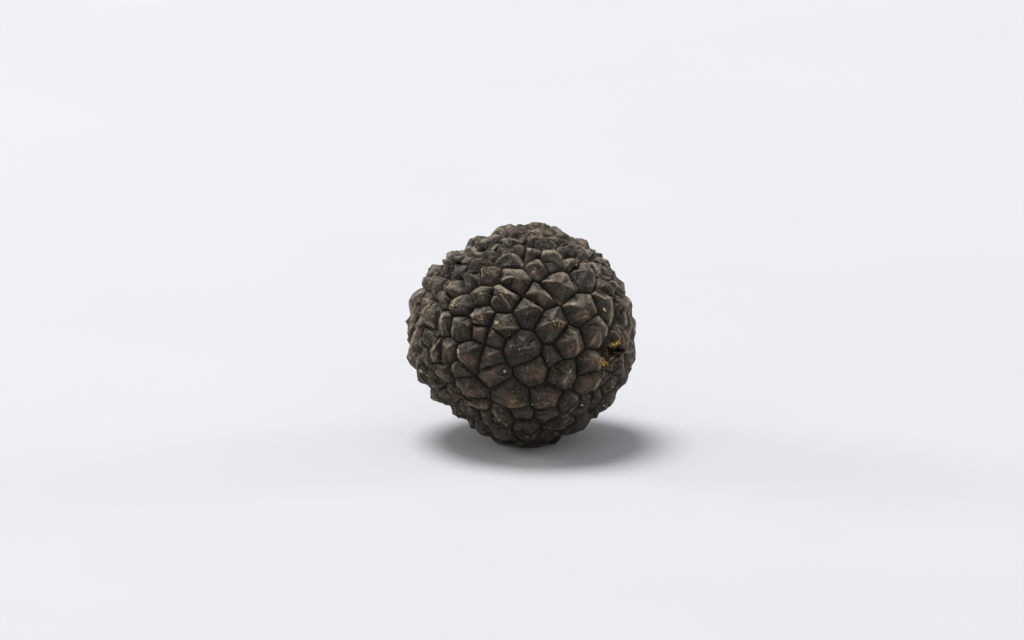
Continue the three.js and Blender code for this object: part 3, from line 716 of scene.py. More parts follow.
    def _move_corners(self) -> None:
        """Moves some corners of the show face's warts to their own places, each with any that touch it."""
        laid_out = self.corners.copy()
        for row in CORNER_PLACES:
            right, up, own_right, own_up = (self.corner_scale * length for length in row)
            old = self.ball.on_face(right, up)
            nearest = laid_out[(laid_out @ old).argmax()]
            close = np.linalg.norm(laid_out - nearest, axis=1) < self.corner_reach
            self.corners[close] = unit(laid_out[close] + self.ball.on_face(own_right, own_up) - old)

    def _put_in_order(self, wart: Wart) -> None:
        """Sorts a wart's corners by their angle round it.

        Args:
            wart: The wart.
        """
        around = self.corners[wart.corners]
        across = unit(np.cross(wart.centre, around[0]))
        along = np.cross(wart.centre, across)
        turn = np.arctan2(around @ along, around @ across)
        wart.corners = [wart.corners[place] for place in np.argsort(turn)]

    def _finish_wart(self, place: int, wart: Wart) -> None:
        """Gives a wart its tip, if it has none yet, its size and its share of the ordinary height.

        Args:
            place: The wart's place in the list.
            wart: The wart.
        """
        around = self.corners[wart.corners]
        if wart.tip is None:
            towards = around[int(scatter(place, Use.TIP_CORNER) * len(around))]
            share = self.tip_wander * scatter(place, Use.TIP_REACH)
            wart.tip = unit(wart.centre * (1 - share) + towards * share)
        wart.size = float(np.arccos(around @ wart.tip).mean()) * self.ball.depth_radius
        wart.variation = 1 + self.rise_spread * (2 * scatter(place, Use.RISE) - 1)


# ---- the net of triangles over the warts


@dataclass
class SkinGrid:
    """A net of small triangles over every wart, and over the furrows between them.

    A wart is made of one sector for each side of its cell. A sector has rows of points from the tip out to
    the rim, then a few down into the furrow. Neighbouring warts share the points on the furrow's floor.
    """

    layout: WartLayout
    spacing: float = 0.19
    hidden_spacing: float = 0.33
    fewest_rows: int = 3
    fewest_steps: int = 2
    furrow_rows: int = 2
    wart_of: list[int] = field(default_factory=list)
    sector_of: list[int] = field(default_factory=list)
    ends_of: list[Ends] = field(default_factory=list)
    spot_of: list[Place] = field(default_factory=list)
    faces: list[tuple[int, int, int]] = field(default_factory=list)
    face_sector: list[int] = field(default_factory=list)
    face_spots: list[list[Place]] = field(default_factory=list)
    sector_wart: list[int] = field(default_factory=list)
    sector_ends: list[Ends] = field(default_factory=list)
    fine_corners: set[int] = field(default_factory=set)

    def build(self) -> None:
        """Lays the net over every wart, one after another, finer where the show face is."""
        for wart in self.layout.warts:
            if self.layout.side_of(wart) is not SkinSide.BACK:
                self.fine_corners.update(wart.corners)
        floors: dict[Ends, list[int]] = {}
        crossings: dict[int, int] = {}
        for place, wart in enumerate(self.layout.warts):
            self._cover_wart(place, wart, floors, crossings)

    def _add_point(self, wart: int, ends: Ends, along: float, out: float, down: float) -> int:
        """Adds one point of the net.

        Args:
            wart: The wart that it is on.
            ends: The two corners that end its sector's side.
            along: Its share of the way from the first corner to the second.
            out: Its share of the way from the tip to the rim.
            down: Its share of the way from the rim to the furrow's floor.

        Returns:
            Its place in the list of points.
        """
        self.wart_of.append(wart)
        self.sector_of.append(len(self.sector_wart))
        self.ends_of.append(ends)
        self.spot_of.append((along, out, down))
        return len(self.wart_of) - 1

    def _cover_wart(self, place: int, wart: Wart, floors: dict[Ends, list[int]],
                    crossings: dict[int, int]) -> None:
        """Lays the net over one wart.

        Args:
            place: The wart's place in the list.
            wart: The wart.
            floors: The points along each furrow's floor so far, by the two corners that end it.
            crossings: The point at each corner so far.
        """
        spacing = self.hidden_spacing if self.layout.side_of(wart) is SkinSide.BACK else self.spacing
        rows = max(self.fewest_rows, round(wart.size / spacing))
        levels = [(row / rows, 0.0) for row in range(1, rows + 1)]
        levels += [(1.0, row / self.furrow_rows) for row in range(1, self.furrow_rows)]
        tip = self._add_point(place, (wart.corners[0], wart.corners[1]), 0, 0, 0)
        spokes = []
        for corner in wart.corners:
            spoke = [self._add_point(place, (corner, corner), 0, out, down) for out, down in levels]
            if corner not in crossings:
                crossings[corner] = self._add_point(place, (corner, corner), 0, 1, 1)
            spokes.append([tip, *spoke, crossings[corner]])
        for side, first in enumerate(wart.corners):
            after = (side + 1) % len(wart.corners)
            ends = (first, wart.corners[after])
            self._cover_sector(place, ends, levels, (spokes[side], spokes[after]), floors)

    def _side_steps(self, ends: Ends) -> int:
        """Gives the number of steps along the side of a cell between two corners.

        Args:
            ends: The two corners that end the side.

        Returns:
            The number.
        """
        first, second = (self.layout.corners[end] for end in ends)
        length = math.acos(min(float(first @ second), 1.0)) * self.layout.ball.depth_radius
        spacing = self.spacing if self.fine_corners.issuperset(ends) else self.hidden_spacing
        return max(self.fewest_steps, round(length / spacing))

    def _floor(self, wart: int, ends: Ends, steps: int,
               floors: dict[Ends, list[int]]) -> list[int]:
        """Gives the points along a furrow's floor, and makes them where the neighbour has not.

        Args:
            wart: The wart whose side it is.
            ends: The two corners that end it.
            steps: The number of steps along it.
            floors: The floors so far, to which a new one is added.

        Returns:
            The places of the points between the two corners.
        """
        back = (ends[1], ends[0])
        if back in floors:
            return floors[back][::-1]
        shares = [step / steps for step in range(1, steps)]
        floors[ends] = [self._add_point(wart, ends, share, 1, 1) for share in shares]
        return floors[ends]

    def _cover_sector(self, wart: int, ends: Ends, levels: list[Pair],
                      spokes: tuple[list[int], list[int]], floors: dict[Ends, list[int]]) -> None:
        """Lays the net over one sector of a wart.

        Args:
            wart: The wart's place in the list.
            ends: The two corners that end the sector's side.
            levels: How far out and down each row of points is, without the tip and the floor.
            spokes: The points of the two spokes that bound the sector, from the tip to the floor.
            floors: The points along each furrow's floor so far.
        """
        steps = self._side_steps(ends)
        rows = [[(spokes[0][0], 0.5)]]
        for level, (out, down) in enumerate(levels, start=1):
            row_steps = max(1, round(steps * out))
            shares = [step / row_steps for step in range(1, row_steps)]
            points = [self._add_point(wart, ends, share, out, down) for share in shares]
            rows.append([(spokes[0][level], 0.0), *zip(points, shares), (spokes[1][level], 1.0)])
        floor = self._floor(wart, ends, steps, floors)
        shares = [step / steps for step in range(1, steps)]
        rows.append([(spokes[0][-1], 0.0), *zip(floor, shares), (spokes[1][-1], 1.0)])
        spots = [(0.0, 0.0), *levels, (1.0, 1.0)]
        for level in range(len(rows) - 1):
            self._join_rows(rows[level], rows[level + 1], spots[level], spots[level + 1])
        self.sector_wart.append(wart)
        self.sector_ends.append(ends)

    def _join_rows(self, inner: list[tuple[int, float]], outer: list[tuple[int, float]],
                   inner_level: Pair, outer_level: Pair) -> None:
        """Joins two neighbouring rows of a sector with triangles.

        Args:
            inner: The points of the row nearer to the tip, each with its share of the way along.
            outer: Those of the row further out.
            inner_level: How far out and down the inner row is.
            outer_level: How far out and down the outer row is.
        """
        near, far = 0, 0
        while near < len(inner) - 1 or far < len(outer) - 1:
            next_near = inner[near + 1][1] if near < len(inner) - 1 else math.inf
            next_far = outer[far + 1][1] if far < len(outer) - 1 else math.inf
            corners = [(inner[near], inner_level), (outer[far], outer_level)]
            if next_far <= next_near:
                far += 1
                corners.append((outer[far], outer_level))
            else:
                near += 1
                corners.append((inner[near], inner_level))
            self.faces.append(tuple(point for (point, _), _ in corners))
            self.face_spots.append([(share, *level) for (_, share), level in corners])
            self.face_sector.append(len(self.sector_wart))


# ---- shader nodes


@dataclass(frozen=True)
class Clouds:
    """One layer of cloudy patches: their size in millimetres, detail, edge levels and a shift."""

    size: float
    detail: float
    low: float = 0.4
    high: float = 0.6
    shift: float = 0.0


@dataclass(frozen=True)
class Fibres:
    """One layer of streaks: width and length in millimetres, and how broad the cracks between them are."""

    width: float
    length: float
    thin: float
    low: float = 0.34
    high: float = 0.66


@dataclass
class NodeBoard:
    """A tree of shader nodes that is being laid out."""

    tree: NodeTree

    def add(self, kind: str, feeds: Feeds | None = None, **settings: object) -> Node:
        """Adds a node of a kind, sets its own options and feeds its inputs.

        Args:
            kind: The node's type.
            feeds: What goes to its inputs, by their names or places.
            settings: Its own options, by name.

        Returns:
            The node.
        """
        node = self.tree.nodes.new(kind)
        for name, value in settings.items():
            setattr(node, name, value)
        self.feed(node, feeds or {})
        return node

    def feed(self, node: Node, feeds: Feeds) -> None:
        """Joins outputs to a node's inputs, or sets numbers or colours on them.

        Args:
            node: The node.
            feeds: What goes to its inputs, by their names or places.
        """
        for name, value in feeds.items():
            socket = node.inputs[name]
            if isinstance(value, bpy.types.NodeSocket):
                self.tree.links.new(value, socket)
            elif socket.type == "RGBA":
                socket.default_value = (*value, 1.0)
            else:
                socket.default_value = value

    def mark(self, name: str) -> Socket:
        """Reads a named value of the mesh."""
        return self.add("ShaderNodeAttribute", attribute_name=name).outputs["Fac"]

    def maths(self, operation: str, first: Feed, second: Feed = 0.0) -> Socket:
        """Works out one number from two."""
        return self.add("ShaderNodeMath", {0: first, 1: second}, operation=operation).outputs[0]

    def product(self, *factors: Feed) -> Socket:
        """Multiplies several numbers."""
        return reduce(lambda result, factor: self.maths("MULTIPLY", result, factor), factors)

    def total(self, *parts: Feed) -> Socket:
        """Adds several numbers."""
        return reduce(lambda result, part: self.maths("ADD", result, part), parts)

    def highest(self, *values: Feed) -> Socket:
        """Gives the highest of several numbers."""
        return reduce(lambda result, value: self.maths("MAXIMUM", result, value), values)

    def spread(self, value: Feed, low: Feed, high: Feed, to_low: Feed = 0.0, to_high: Feed = 1.0) -> Socket:
        """Turns the range from low to high into another range, with a smooth start and end."""
        feeds = {"Value": value, "From Min": low, "From Max": high, "To Min": to_low, "To Max": to_high}
        return self.add("ShaderNodeMapRange", feeds, interpolation_type="SMOOTHSTEP").outputs["Result"]

    def line(self, value: Feed, factor_and_start: Pair) -> Socket:
        """Multiplies a number by a factor and adds a start to it."""
        factor, start = factor_and_start
        return self.total(self.product(value, factor), start)

    def between(self, share: Feed, ends: Pair) -> Socket:
        """Gives the first of two numbers where a share is 0 and the second where it is 1."""
        return self.spread(share, 0.0, 1.0, *ends)

    def noise(self, vector: Socket, detail: Feed) -> Socket:
        """Lays out cloudy noise with a size of one, from 0 to 1."""
        feeds = {"Vector": vector, "Scale": 1.0, "Detail": detail}
        return self.add("ShaderNodeTexNoise", feeds).outputs["Fac"]

    def blend(self, share: Feed, under: Feed, over: Feed) -> Socket:
        """Lays one colour over another by a share."""
        feeds = {"Factor": share, MIX_UNDER: under, MIX_OVER: over}
        return self.add("ShaderNodeMix", feeds, data_type="RGBA", clamp_factor=True).outputs[MIX_RESULT]

    def bump(self, height: Socket, depth: float) -> Socket:
        """Raises the surface by a height, as a share of a depth in millimetres."""
        return self.add("ShaderNodeBump", {"Distance": depth * MM, "Height": height}).outputs["Normal"]

    def place(self, group: NodeTree, layer: Clouds | Fibres) -> Node:
        """Places a node group and sets each field of a layer on the input of the same name."""
        feeds = {name.capitalize(): value for name, value in vars(layer).items()}
        return self.add("ShaderNodeGroup", feeds, node_tree=group)


def new_group(name: str, takes: dict[str, float], gives: tuple[str, ...]) -> tuple[NodeBoard, Node, Node]:
    """Starts a node group that takes and gives numbers.

    Args:
        name: The group's name.
        takes: The names of its inputs, with what each is if nothing is set.
        gives: The names of its outputs.

    Returns:
        Its board, the node that hands out its inputs, and the node that takes its outputs.
    """
    tree = bpy.data.node_groups.new(name, "ShaderNodeTree")
    for label, value in takes.items():
        socket = tree.interface.new_socket(label, in_out="INPUT", socket_type="NodeSocketFloat")
        socket.default_value = value
    for label in gives:
        tree.interface.new_socket(label, in_out="OUTPUT", socket_type="NodeSocketFloat")
    board = NodeBoard(tree)
    return board, board.add("NodeGroupInput"), board.add("NodeGroupOutput")


@dataclass(frozen=True)
class Effects:
    """The node groups that the finishes share."""

    mottle: NodeTree
    streaks: NodeTree

    def patches(self, board: NodeBoard, layer: Clouds) -> Node:
        """Places the group for cloudy patches with a layer's values."""
        return board.place(self.mottle, layer)

    def mask(self, board: NodeBoard, layer: Clouds) -> Socket:
        """Lays out a layer of cloudy patches as a mask."""
        return self.patches(board, layer).outputs["Mask"]

    def fibres(self, board: NodeBoard, layer: Fibres) -> Node:
        """Places the group for streaks with a layer's values."""
        return board.place(self.streaks, layer)


def make_mottle() -> NodeTree:
    """Makes the group for cloudy patches: their size in millimetres, detail and edge levels.

    Returns:
        The group.
    """
    takes = {"Size": 1.0, "Detail": 3.0, "Low": 0.4, "High": 0.6, "Shift": 0.0}
    board, start, end = new_group("Mottle", takes, ("Mask", "Value"))
    given = start.outputs
    places = board.add("ShaderNodeTexCoord").outputs["Object"]
    scale = board.maths("DIVIDE", 1 / MM, given["Size"])
    sized = board.add("ShaderNodeVectorMath", {0: places, "Scale": scale}, operation="SCALE").outputs[0]
    moved = board.add("ShaderNodeVectorMath", {0: sized, 1: given["Shift"]}, operation="ADD").outputs[0]
    value = board.noise(moved, given["Detail"])
    board.feed(end, {"Value": value, "Mask": board.spread(value, given["Low"], given["High"])})
    return board.tree


def make_streaks() -> NodeTree:
    """Makes the group for the rind's fibres and layers.

    They follow each wart: Width is their size along its sides in millimetres, and Length their size out
    from its tip. Cracks are thin lines between them, and Lips the raised edges beside the cracks.

    Returns:
        The group.
    """
    takes = {"Width": 0.3, "Length": 2.0, "Low": 0.35, "High": 0.65, "Thin": 0.05, "Detail": 2.0}
    crack_core, lip_place = 0.2, 1.8  # as shares of Thin
    board, start, end = new_group("Streaks", takes, ("Mask", "Cracks", "Lips"))
    given, thin = start.outputs, start.outputs["Thin"]
    grain = board.add("ShaderNodeAttribute", attribute_name="grain").outputs["Vector"]
    feeds = {"X": given["Width"], "Y": given["Length"], "Z": 1.0}
    sizes = board.add("ShaderNodeCombineXYZ", feeds).outputs[0]
    sized = board.add("ShaderNodeVectorMath", {0: grain, 1: sizes}, operation="DIVIDE").outputs[0]
    value = board.noise(sized, given["Detail"])
    from_middle = board.maths("SUBTRACT", value, NOISE_MIDDLE)
    on_line = board.maths("ABSOLUTE", from_middle)
    beside = board.maths("ABSOLUTE", board.maths("SUBTRACT", from_middle, board.product(thin, lip_place)))
    board.feed(end, {
        "Mask": board.spread(value, given["Low"], given["High"]),
        "Cracks": board.spread(on_line, thin, board.product(thin, crack_core)),
        "Lips": board.spread(beside, thin, 0.0),
    })
    return board.tree


# ---- finishes


def new_material(name: str) -> tuple[Material, NodeBoard, Node]:
    """Starts a material.

    Args:
        name: The material's name.

    Returns:
        The material, its board and its shader.
    """
    material = bpy.data.materials.new(name)
    material.use_nodes = True
    board = NodeBoard(material.node_tree)
    shader = material.node_tree.nodes["Principled BSDF"]
    return material, board, shader


@dataclass(frozen=True)
class RindColours:
    """The colours of the rind, its scars and what lies on it."""

    # the darkest skin, also laid on the wart flanks as painted shade
    dark: Colour = (0.018, 0.0158, 0.0128)
    brown: Colour = (0.150, 0.122, 0.090)
    rust: Colour = (0.190, 0.100, 0.062)
    ash: Colour = (0.150, 0.146, 0.125)
    tan: Colour = (0.440, 0.350, 0.255)
    straw: Colour = (0.680, 0.570, 0.360)
    ochre: Colour = (0.430, 0.240, 0.090)
    # the pale film on faces that look up: partly dust, partly painted top light
    dust: Colour = (0.235, 0.190, 0.148)
    # near-black painted shade for the furrows, cracks and splits
    furrow: Colour = (0.011, 0.010, 0.009)
    umber: Colour = (0.026, 0.019, 0.013)
    # near-black painted shade inside the worm hole and the rot hollow
    hollow: Colour = (0.002, 0.002, 0.002)
    bloom: Colour = (1.0, 0.86, 0.68)
    liver: Colour = (0.060, 0.018, 0.008)
    olive: Colour = (0.110, 0.080, 0.016)
    yolk: Colour = (0.520, 0.320, 0.085)


@dataclass(frozen=True)
class RindPatches:
    """The layers of cloudy patches and streaks that break up the rind."""

    grit: Clouds = Clouds(0.46, 4.0, 0.34, 0.66)
    lumps: Clouds = Clouds(1.2, 3.0, 0.34, 0.66, 13.0)
    rays: Fibres = Fibres(0.6, 3.4, 0.06)
    layers: Fibres = Fibres(3.4, 0.75, 0.12)
    dry: Clouds = Clouds(2.4, 2.0, 0.42, 0.58, 33.0)
    split_lines: Clouds = Clouds(0.75, 2.0, shift=27.0)
    split_places: Clouds = Clouds(2.2, 2.0, 0.5, 0.62, 33.0)
    tones: Clouds = Clouds(1.7, 4.0, 0.34, 0.66)
    rust: Clouds = Clouds(2.6, 4.0, 0.56, 0.7, 17.0)
    ash: Clouds = Clouds(1.9, 4.0, 0.56, 0.72, 41.0)
    film: Clouds = Clouds(0.8, 4.0, 0.38, 0.62, 87.0)
    wear: Clouds = Clouds(0.9, 4.0, 0.36, 0.6, 5.0)
    rusty_wear: Clouds = Clouds(2.1, 2.0, 0.45, 0.6, 61.0)
    specks: Clouds = Clouds(0.4, 3.0, 0.52, 0.62, 9.0)
    crowds: Clouds = Clouds(2.0, 3.0, 0.58, 0.72, 71.0)
    golden: Clouds = Clouds(0.45, 2.0, 0.47, 0.55, 93.0)
    crests: Clouds = Clouds(0.5, 3.0, 0.36, 0.56, 55.0)
    rusty_crests: Clouds = Clouds(1.2, 2.0, 0.5, 0.62, 64.0)
    yolk: Clouds = Clouds(0.55, 3.0, 0.45, 0.58, 29.0)
    olive: Clouds = Clouds(0.7, 1.0, 0.47, 0.53, 3.0)
    coarse: Clouds = Clouds(1.3, 3.0)


@dataclass(frozen=True)
class RindTones:
    """How much each thing lightens the sound skin. Pairs are for a plain and a layered wart."""

    patches: float = 0.22
    # faces that look up are made lighter: painted top light, with some settled dust
    upward_light_and_dust: float = 0.46
    wart: float = 0.12
    facet: float = 0.1
    rays: Pair = (0.13, 0.26)
    layers: float = 0.38
    grit: Pair = (0.24, 0.34)
    layered: float = -0.09
    least: float = 0.03
    span: Pair = (0.25, 1.25)


@dataclass(frozen=True)
class RindRelief:
    """How far each thing stands up, as a share of the depth. Pairs are for a plain and a layered wart."""

    grit: Pair = (0.16, 0.26)
    lumps: float = 0.3
    rays: Pair = (0.14, 0.24)
    layers: float = 0.34
    lips: float = 0.22
    cracks: float = -0.45
    splits: float = -0.5
    depth: float = 0.3


@dataclass(frozen=True)
class RindTexture:
    """The fine texture of the rind as it is laid out, each part from 0 to 1."""

    layered: Socket
    grit: Socket
    lumps: Socket
    rays: Socket
    layers: Socket
    cracks: Socket
    lips: Socket
    splits: Socket


@dataclass(frozen=True)
class RindFinish:
    """The truffle's dry black-brown rind, with worn tan ridges and rusty patches, painted shade on the wart
    flanks and in the furrows, cracks and holes, and painted top light on faces that look up.

    A field that ends in line holds a factor and what is added after it. Other pairs are levels from 0 to 1.
    """

    effects: Effects
    colours: RindColours = RindColours()
    patches: RindPatches = RindPatches()
    tones: RindTones = RindTones()
    relief: RindRelief = RindRelief()
    plain_levels: Pair = (1.2, 0.2)
    dry_line: Pair = (0.3, 0.7)
    split_levels: Pair = (0.022, 0.006)
    split_darkness: float = 0.8
    rusty_line: Pair = (0.6, 0.3)
    rust_share: float = 0.5
    ash_share: float = 0.55
    film_line: Pair = (0.5, 0.26)
    ridge_wear: float = 0.9
    rim_wear: float = 0.25
    tip_wear: float = 0.65
    lip_line: Pair = (0.65, 0.15)
    worn_line: Pair = (0.45, 0.3)
    worn_upward: Pair = (0.42, 1.0)
    rusty_wear: float = 0.7
    crowd_line: Pair = (0.5, 0.15)
    specks_upward: Pair = (0.35, 1.0)
    most_golden: float = 0.9
    # the flank fields darken each wart towards its furrow as painted shade, less on faces that look up
    flank_levels: Pair = (0.62, 1.0)
    flank_shade: tuple[float, float, float, float] = (0.2, 0.9, 0.75, 0.42)
    furrow_shade: float = 0.9
    crest_line: Pair = (0.5, 0.5)
    rusty_crests: float = 0.6
    crack_levels: Pair = (0.25, 0.8)
    crust_shade: float = 0.9
    rot_levels: tuple[float, float, float, float] = (0.25, 0.5, 0.0, 0.95)
    roughness: tuple[float, float, float, float] = (0.3, 0.7, 0.6, 0.88)
    specular: float = 0.4
    sheen: float = 0.08
    sheen_roughness: float = 0.45

    def material(self) -> Material:
        """Makes the material.

        Returns:
            The material.
        """
        material, board, shader = new_material("Rind")
        texture = self._texture(board)
        colour = self._worn(board, self._skin_colour(board, texture), texture.lips)
        # painted shade in the fine cracks and splits
        gaps = board.highest(board.product(texture.splits, self.split_darkness), texture.cracks)
        colour = self._scarred(board, board.blend(gaps, colour, self.colours.furrow))
        coarse = self.effects.patches(board, self.patches.coarse).outputs["Value"]
        board.feed(shader, {
            "Base Color": colour,
            "Roughness": board.spread(coarse, *self.roughness),
            "Specular IOR Level": self.specular,
            "Sheen Weight": self.sheen,
            "Sheen Roughness": self.sheen_roughness,
            "Sheen Tint": self.colours.bloom,
            "Normal": board.bump(self._height(board, texture), self.relief.depth),
        })
        return material

    def _texture(self, board: NodeBoard) -> RindTexture:
        """Lays out the grit, the fibres, the cracks between them with their lips, and the splits.

        Args:
            board: The material's board.

        Returns:
            The texture.
        """
        patches = self.patches
        grit, lumps = (self.effects.mask(board, layer) for layer in (patches.grit, patches.lumps))
        rays, layers = (self.effects.fibres(board, layer) for layer in (patches.rays, patches.layers))
        layered = board.mark("layered")
        dry = self.effects.mask(board, patches.dry)
        cracks = board.highest(
            board.product(rays.outputs["Cracks"], dry, board.spread(layered, *self.plain_levels)),
            board.product(layers.outputs["Cracks"], board.line(dry, self.dry_line), layered),
        )
        lips = board.highest(
            board.product(rays.outputs["Lips"], dry, board.spread(layered, *self.plain_levels)),
            board.product(layers.outputs["Lips"], layered),
        )
        splits = self._splits(board)
        masks = (rays.outputs["Mask"], layers.outputs["Mask"])
        return RindTexture(layered, grit, lumps, *masks, cracks, lips, splits)

    def _splits(self, board: NodeBoard) -> Socket:
        """Lays out thin splits in the drier places of the skin, as a mask.

        Args:
            board: The material's board.

        Returns:
            The mask.
        """
        wander = self.effects.patches(board, self.patches.split_lines).outputs["Value"]
        off_line = board.maths("ABSOLUTE", board.maths("SUBTRACT", wander, NOISE_MIDDLE))
        dry = self.effects.mask(board, self.patches.split_places)
        return board.product(board.spread(off_line, *self.split_levels), dry)

    def _height(self, board: NodeBoard, texture: RindTexture) -> Socket:
        """Adds up how far the texture stands up.

        Args:
            board: The material's board.
            texture: The texture.

        Returns:
            The height, as a share of the relief's depth.
        """
        relief, layered = self.relief, texture.layered
        return board.total(
            board.product(texture.grit, board.between(layered, relief.grit)),
            board.product(texture.lumps, relief.lumps),
            board.product(texture.rays, board.between(layered, relief.rays)),
            board.product(texture.layers, layered, relief.layers),
            board.product(texture.lips, relief.lips),
            board.product(texture.cracks, relief.cracks),
            board.product(texture.splits, relief.splits),
        )

    def _skin_colour(self, board: NodeBoard, texture: RindTexture) -> Socket:
        """Lays out the colour of the sound skin, away from ridges and furrows, lighter on faces that look
        up as painted top light.

        Args:
            board: The material's board.
            texture: The fine texture.

        Returns:
            The colour.
        """
        effects, patches, colours, tones = self.effects, self.patches, self.colours, self.tones
        clouds = effects.mask(board, patches.tones)
        tone = board.total(
            board.product(clouds, tones.patches),
            board.product(board.mark("upward_light_and_dust"), tones.upward_light_and_dust),
            board.product(board.mark("wart_tone"), tones.wart),
            board.product(board.mark("facet_tone"), tones.facet),
            board.product(texture.rays, board.between(board.mark("layered"), tones.rays)),
            board.product(texture.layers, board.mark("layered"), tones.layers),
            board.product(texture.grit, board.between(board.mark("layered"), tones.grit)),
            board.product(board.mark("layered"), tones.layered),
            tones.least,
        )
        colour = board.blend(board.spread(tone, *tones.span), colours.dark, colours.brown)
        rust = effects.mask(board, patches.rust)
        rusty = board.product(board.mark("rusty"), board.line(texture.grit, self.rusty_line))
        rusty = board.highest(board.product(rust, self.rust_share), rusty)
        colour = board.blend(rusty, colour, colours.rust)
        ash = effects.mask(board, patches.ash)
        colour = board.blend(board.product(ash, self.ash_share), colour, colours.ash)
        # a pale film on faces that look up: partly settled dust, partly painted top light
        film = effects.mask(board, patches.film)
        thickness = board.line(board.mark("layered"), self.film_line)
        return board.blend(board.product(film, board.mark("upward_light_and_dust"), thickness), colour, colours.dust)

    def _worn(self, board: NodeBoard, colour: Socket, lips: Socket) -> Socket:
        """Lays tan wear over the ridges, rims and raised edges, and clusters of straw-coloured grains, both
        heavier on faces that look up, partly as painted top light.

        Args:
            board: The material's board.
            colour: The colour so far.
            lips: The raised edges beside cracks, from 0 to 1.

        Returns:
            The colour.
        """
        effects, patches, colours = self.effects, self.patches, self.colours
        broken = effects.mask(board, patches.wear)
        upward_light_and_dust = board.mark("upward_light_and_dust")
        edges = board.highest(
            board.product(board.mark("ridge"), self.ridge_wear),
            board.product(board.mark("rim"), self.rim_wear),
            board.product(board.mark("tip"), self.tip_wear),
            board.product(lips, board.line(board.mark("layered"), self.lip_line)),
        )
        worn = board.line(board.mark("layered"), self.worn_line)
        # wear is heavier on faces that look up: partly painted top light
        wear = board.product(edges, broken, worn, board.between(upward_light_and_dust, self.worn_upward))
        rusty = effects.mask(board, patches.rusty_wear)
        worn_skin = board.blend(board.product(rusty, self.rusty_wear), colours.tan, colours.rust)
        colour = board.blend(wear, colour, worn_skin)
        specks = effects.mask(board, patches.specks)
        crowds = effects.mask(board, patches.crowds)
        faced = board.between(upward_light_and_dust, self.specks_upward)
        flecks = board.product(specks, board.line(crowds, self.crowd_line), faced)
        colour = board.blend(flecks, colour, worn_skin)
        golden = board.maths("MINIMUM", board.product(specks, board.mark("dusty")), self.most_golden)
        kinds = effects.mask(board, patches.golden)
        return board.blend(golden, colour, board.blend(kinds, colours.ochre, colours.straw))

    def _scarred(self, board: NodeBoard, colour: Socket) -> Socket:
        """Lays out painted shade on the wart flanks, in the furrows, cracks and holes, the crests, pale
        partly from wear and partly as painted highlight, and the rotted wart.

        Args:
            board: The material's board.
            colour: The colour so far.

        Returns:
            The colour.
        """
        effects, patches, colours = self.effects, self.patches, self.colours
        # painted shade on each wart's flank towards its furrow, less on faces that look up
        shade = board.spread(board.mark("upward_light_and_dust"), *self.flank_shade)
        painted_flank_shade = board.spread(board.mark("painted_flank_shade"), *self.flank_levels)
        colour = board.blend(board.product(painted_flank_shade, shade), colour, colours.dark)
        # painted shade in the furrows
        furrow = board.between(board.mark("furrow"), (0.0, self.furrow_shade))
        colour = board.blend(furrow, colour, colours.furrow)
        # the crests are pale partly from wear and partly as painted highlight
        fine = effects.mask(board, patches.crests)
        crest = board.product(board.mark("crest"), board.line(fine, self.crest_line))
        kinds = effects.mask(board, patches.rusty_crests)
        pale = board.blend(board.product(kinds, self.rusty_crests), colours.tan, colours.rust)
        colour = board.blend(crest, colour, pale)
        # painted shade in the cracks
        colour = board.blend(board.spread(board.mark("crack"), *self.crack_levels), colour, colours.furrow)
        colour = board.blend(board.product(board.mark("crust"), self.crust_shade), colour, colours.umber)
        # painted shade inside the worm hole and the rot hollow
        colour = board.blend(board.mark("hollow"), colour, colours.hollow)
        crumbs = effects.mask(board, patches.yolk)
        kinds = effects.mask(board, patches.olive)
        rotten = board.blend(crumbs, board.blend(kinds, colours.liver, colours.olive), colours.yolk)
        return board.blend(board.spread(board.mark("rot"), *self.rot_levels), colour, rotten)


@dataclass(frozen=True)
class SoilFinish:
    """Dried soil in one tone, a little uneven."""

    effects: Effects
    name: str
    light: Colour
    deep: Colour
    roughness: float = 0.92
    patches: Clouds = Clouds(0.16, 3.0)
    relief: float = 0.05

    def material(self) -> Material:
        """Makes the material.

        Returns:
            The material.
        """
        material, board, shader = new_material(self.name)
        clouds = self.effects.patches(board, self.patches)
        board.feed(shader, {
            "Base Color": board.blend(clouds.outputs["Mask"], self.deep, self.light),
            "Roughness": self.roughness,
            "Normal": board.bump(clouds.outputs["Value"], self.relief),
        })
        return material


@dataclass(frozen=True)
class FloorFinish:
    """A matt pale table, which throws little light back up."""

    effects: Effects
    light: Colour = (0.645, 0.652, 0.68)
    deep: Colour = (0.635, 0.642, 0.67)
    thrown_back: Colour = (0.66, 0.615, 0.575)
    roughness: float = 0.9
    patches: Clouds = Clouds(60.0, 2.0, 0.3, 0.7)

    def material(self) -> Material:
        """Makes the material.

        Returns:
            The material.
        """
        material, board, shader = new_material("Table")
        clouds = self.effects.mask(board, self.patches)
        seen = board.add("ShaderNodeLightPath").outputs["Is Camera Ray"]
        top = board.blend(clouds, self.deep, self.light)
        board.feed(shader, {
            "Base Color": board.blend(seen, self.thrown_back, top),
            "Roughness": self.roughness,
        })
        return material


# ---- meshes and marks


def new_piece(name: str, points: Floats, faces: list[tuple[int, ...]]) -> Piece:
    """Makes a smooth-shaded piece in the scene.

    Args:
        name: The piece's name.
        points: Its points in millimetres.
        faces: The places of the points of each face.

    Returns:
        The piece.
    """
    mesh = bpy.data.meshes.new(name)
    mesh.from_pydata((points * MM).tolist(), [], faces)
    mesh.polygons.foreach_set("use_smooth", [True] * len(mesh.polygons))
    mesh.update()
    piece = bpy.data.objects.new(name, mesh)
    bpy.context.scene.collection.objects.link(piece)
    return piece


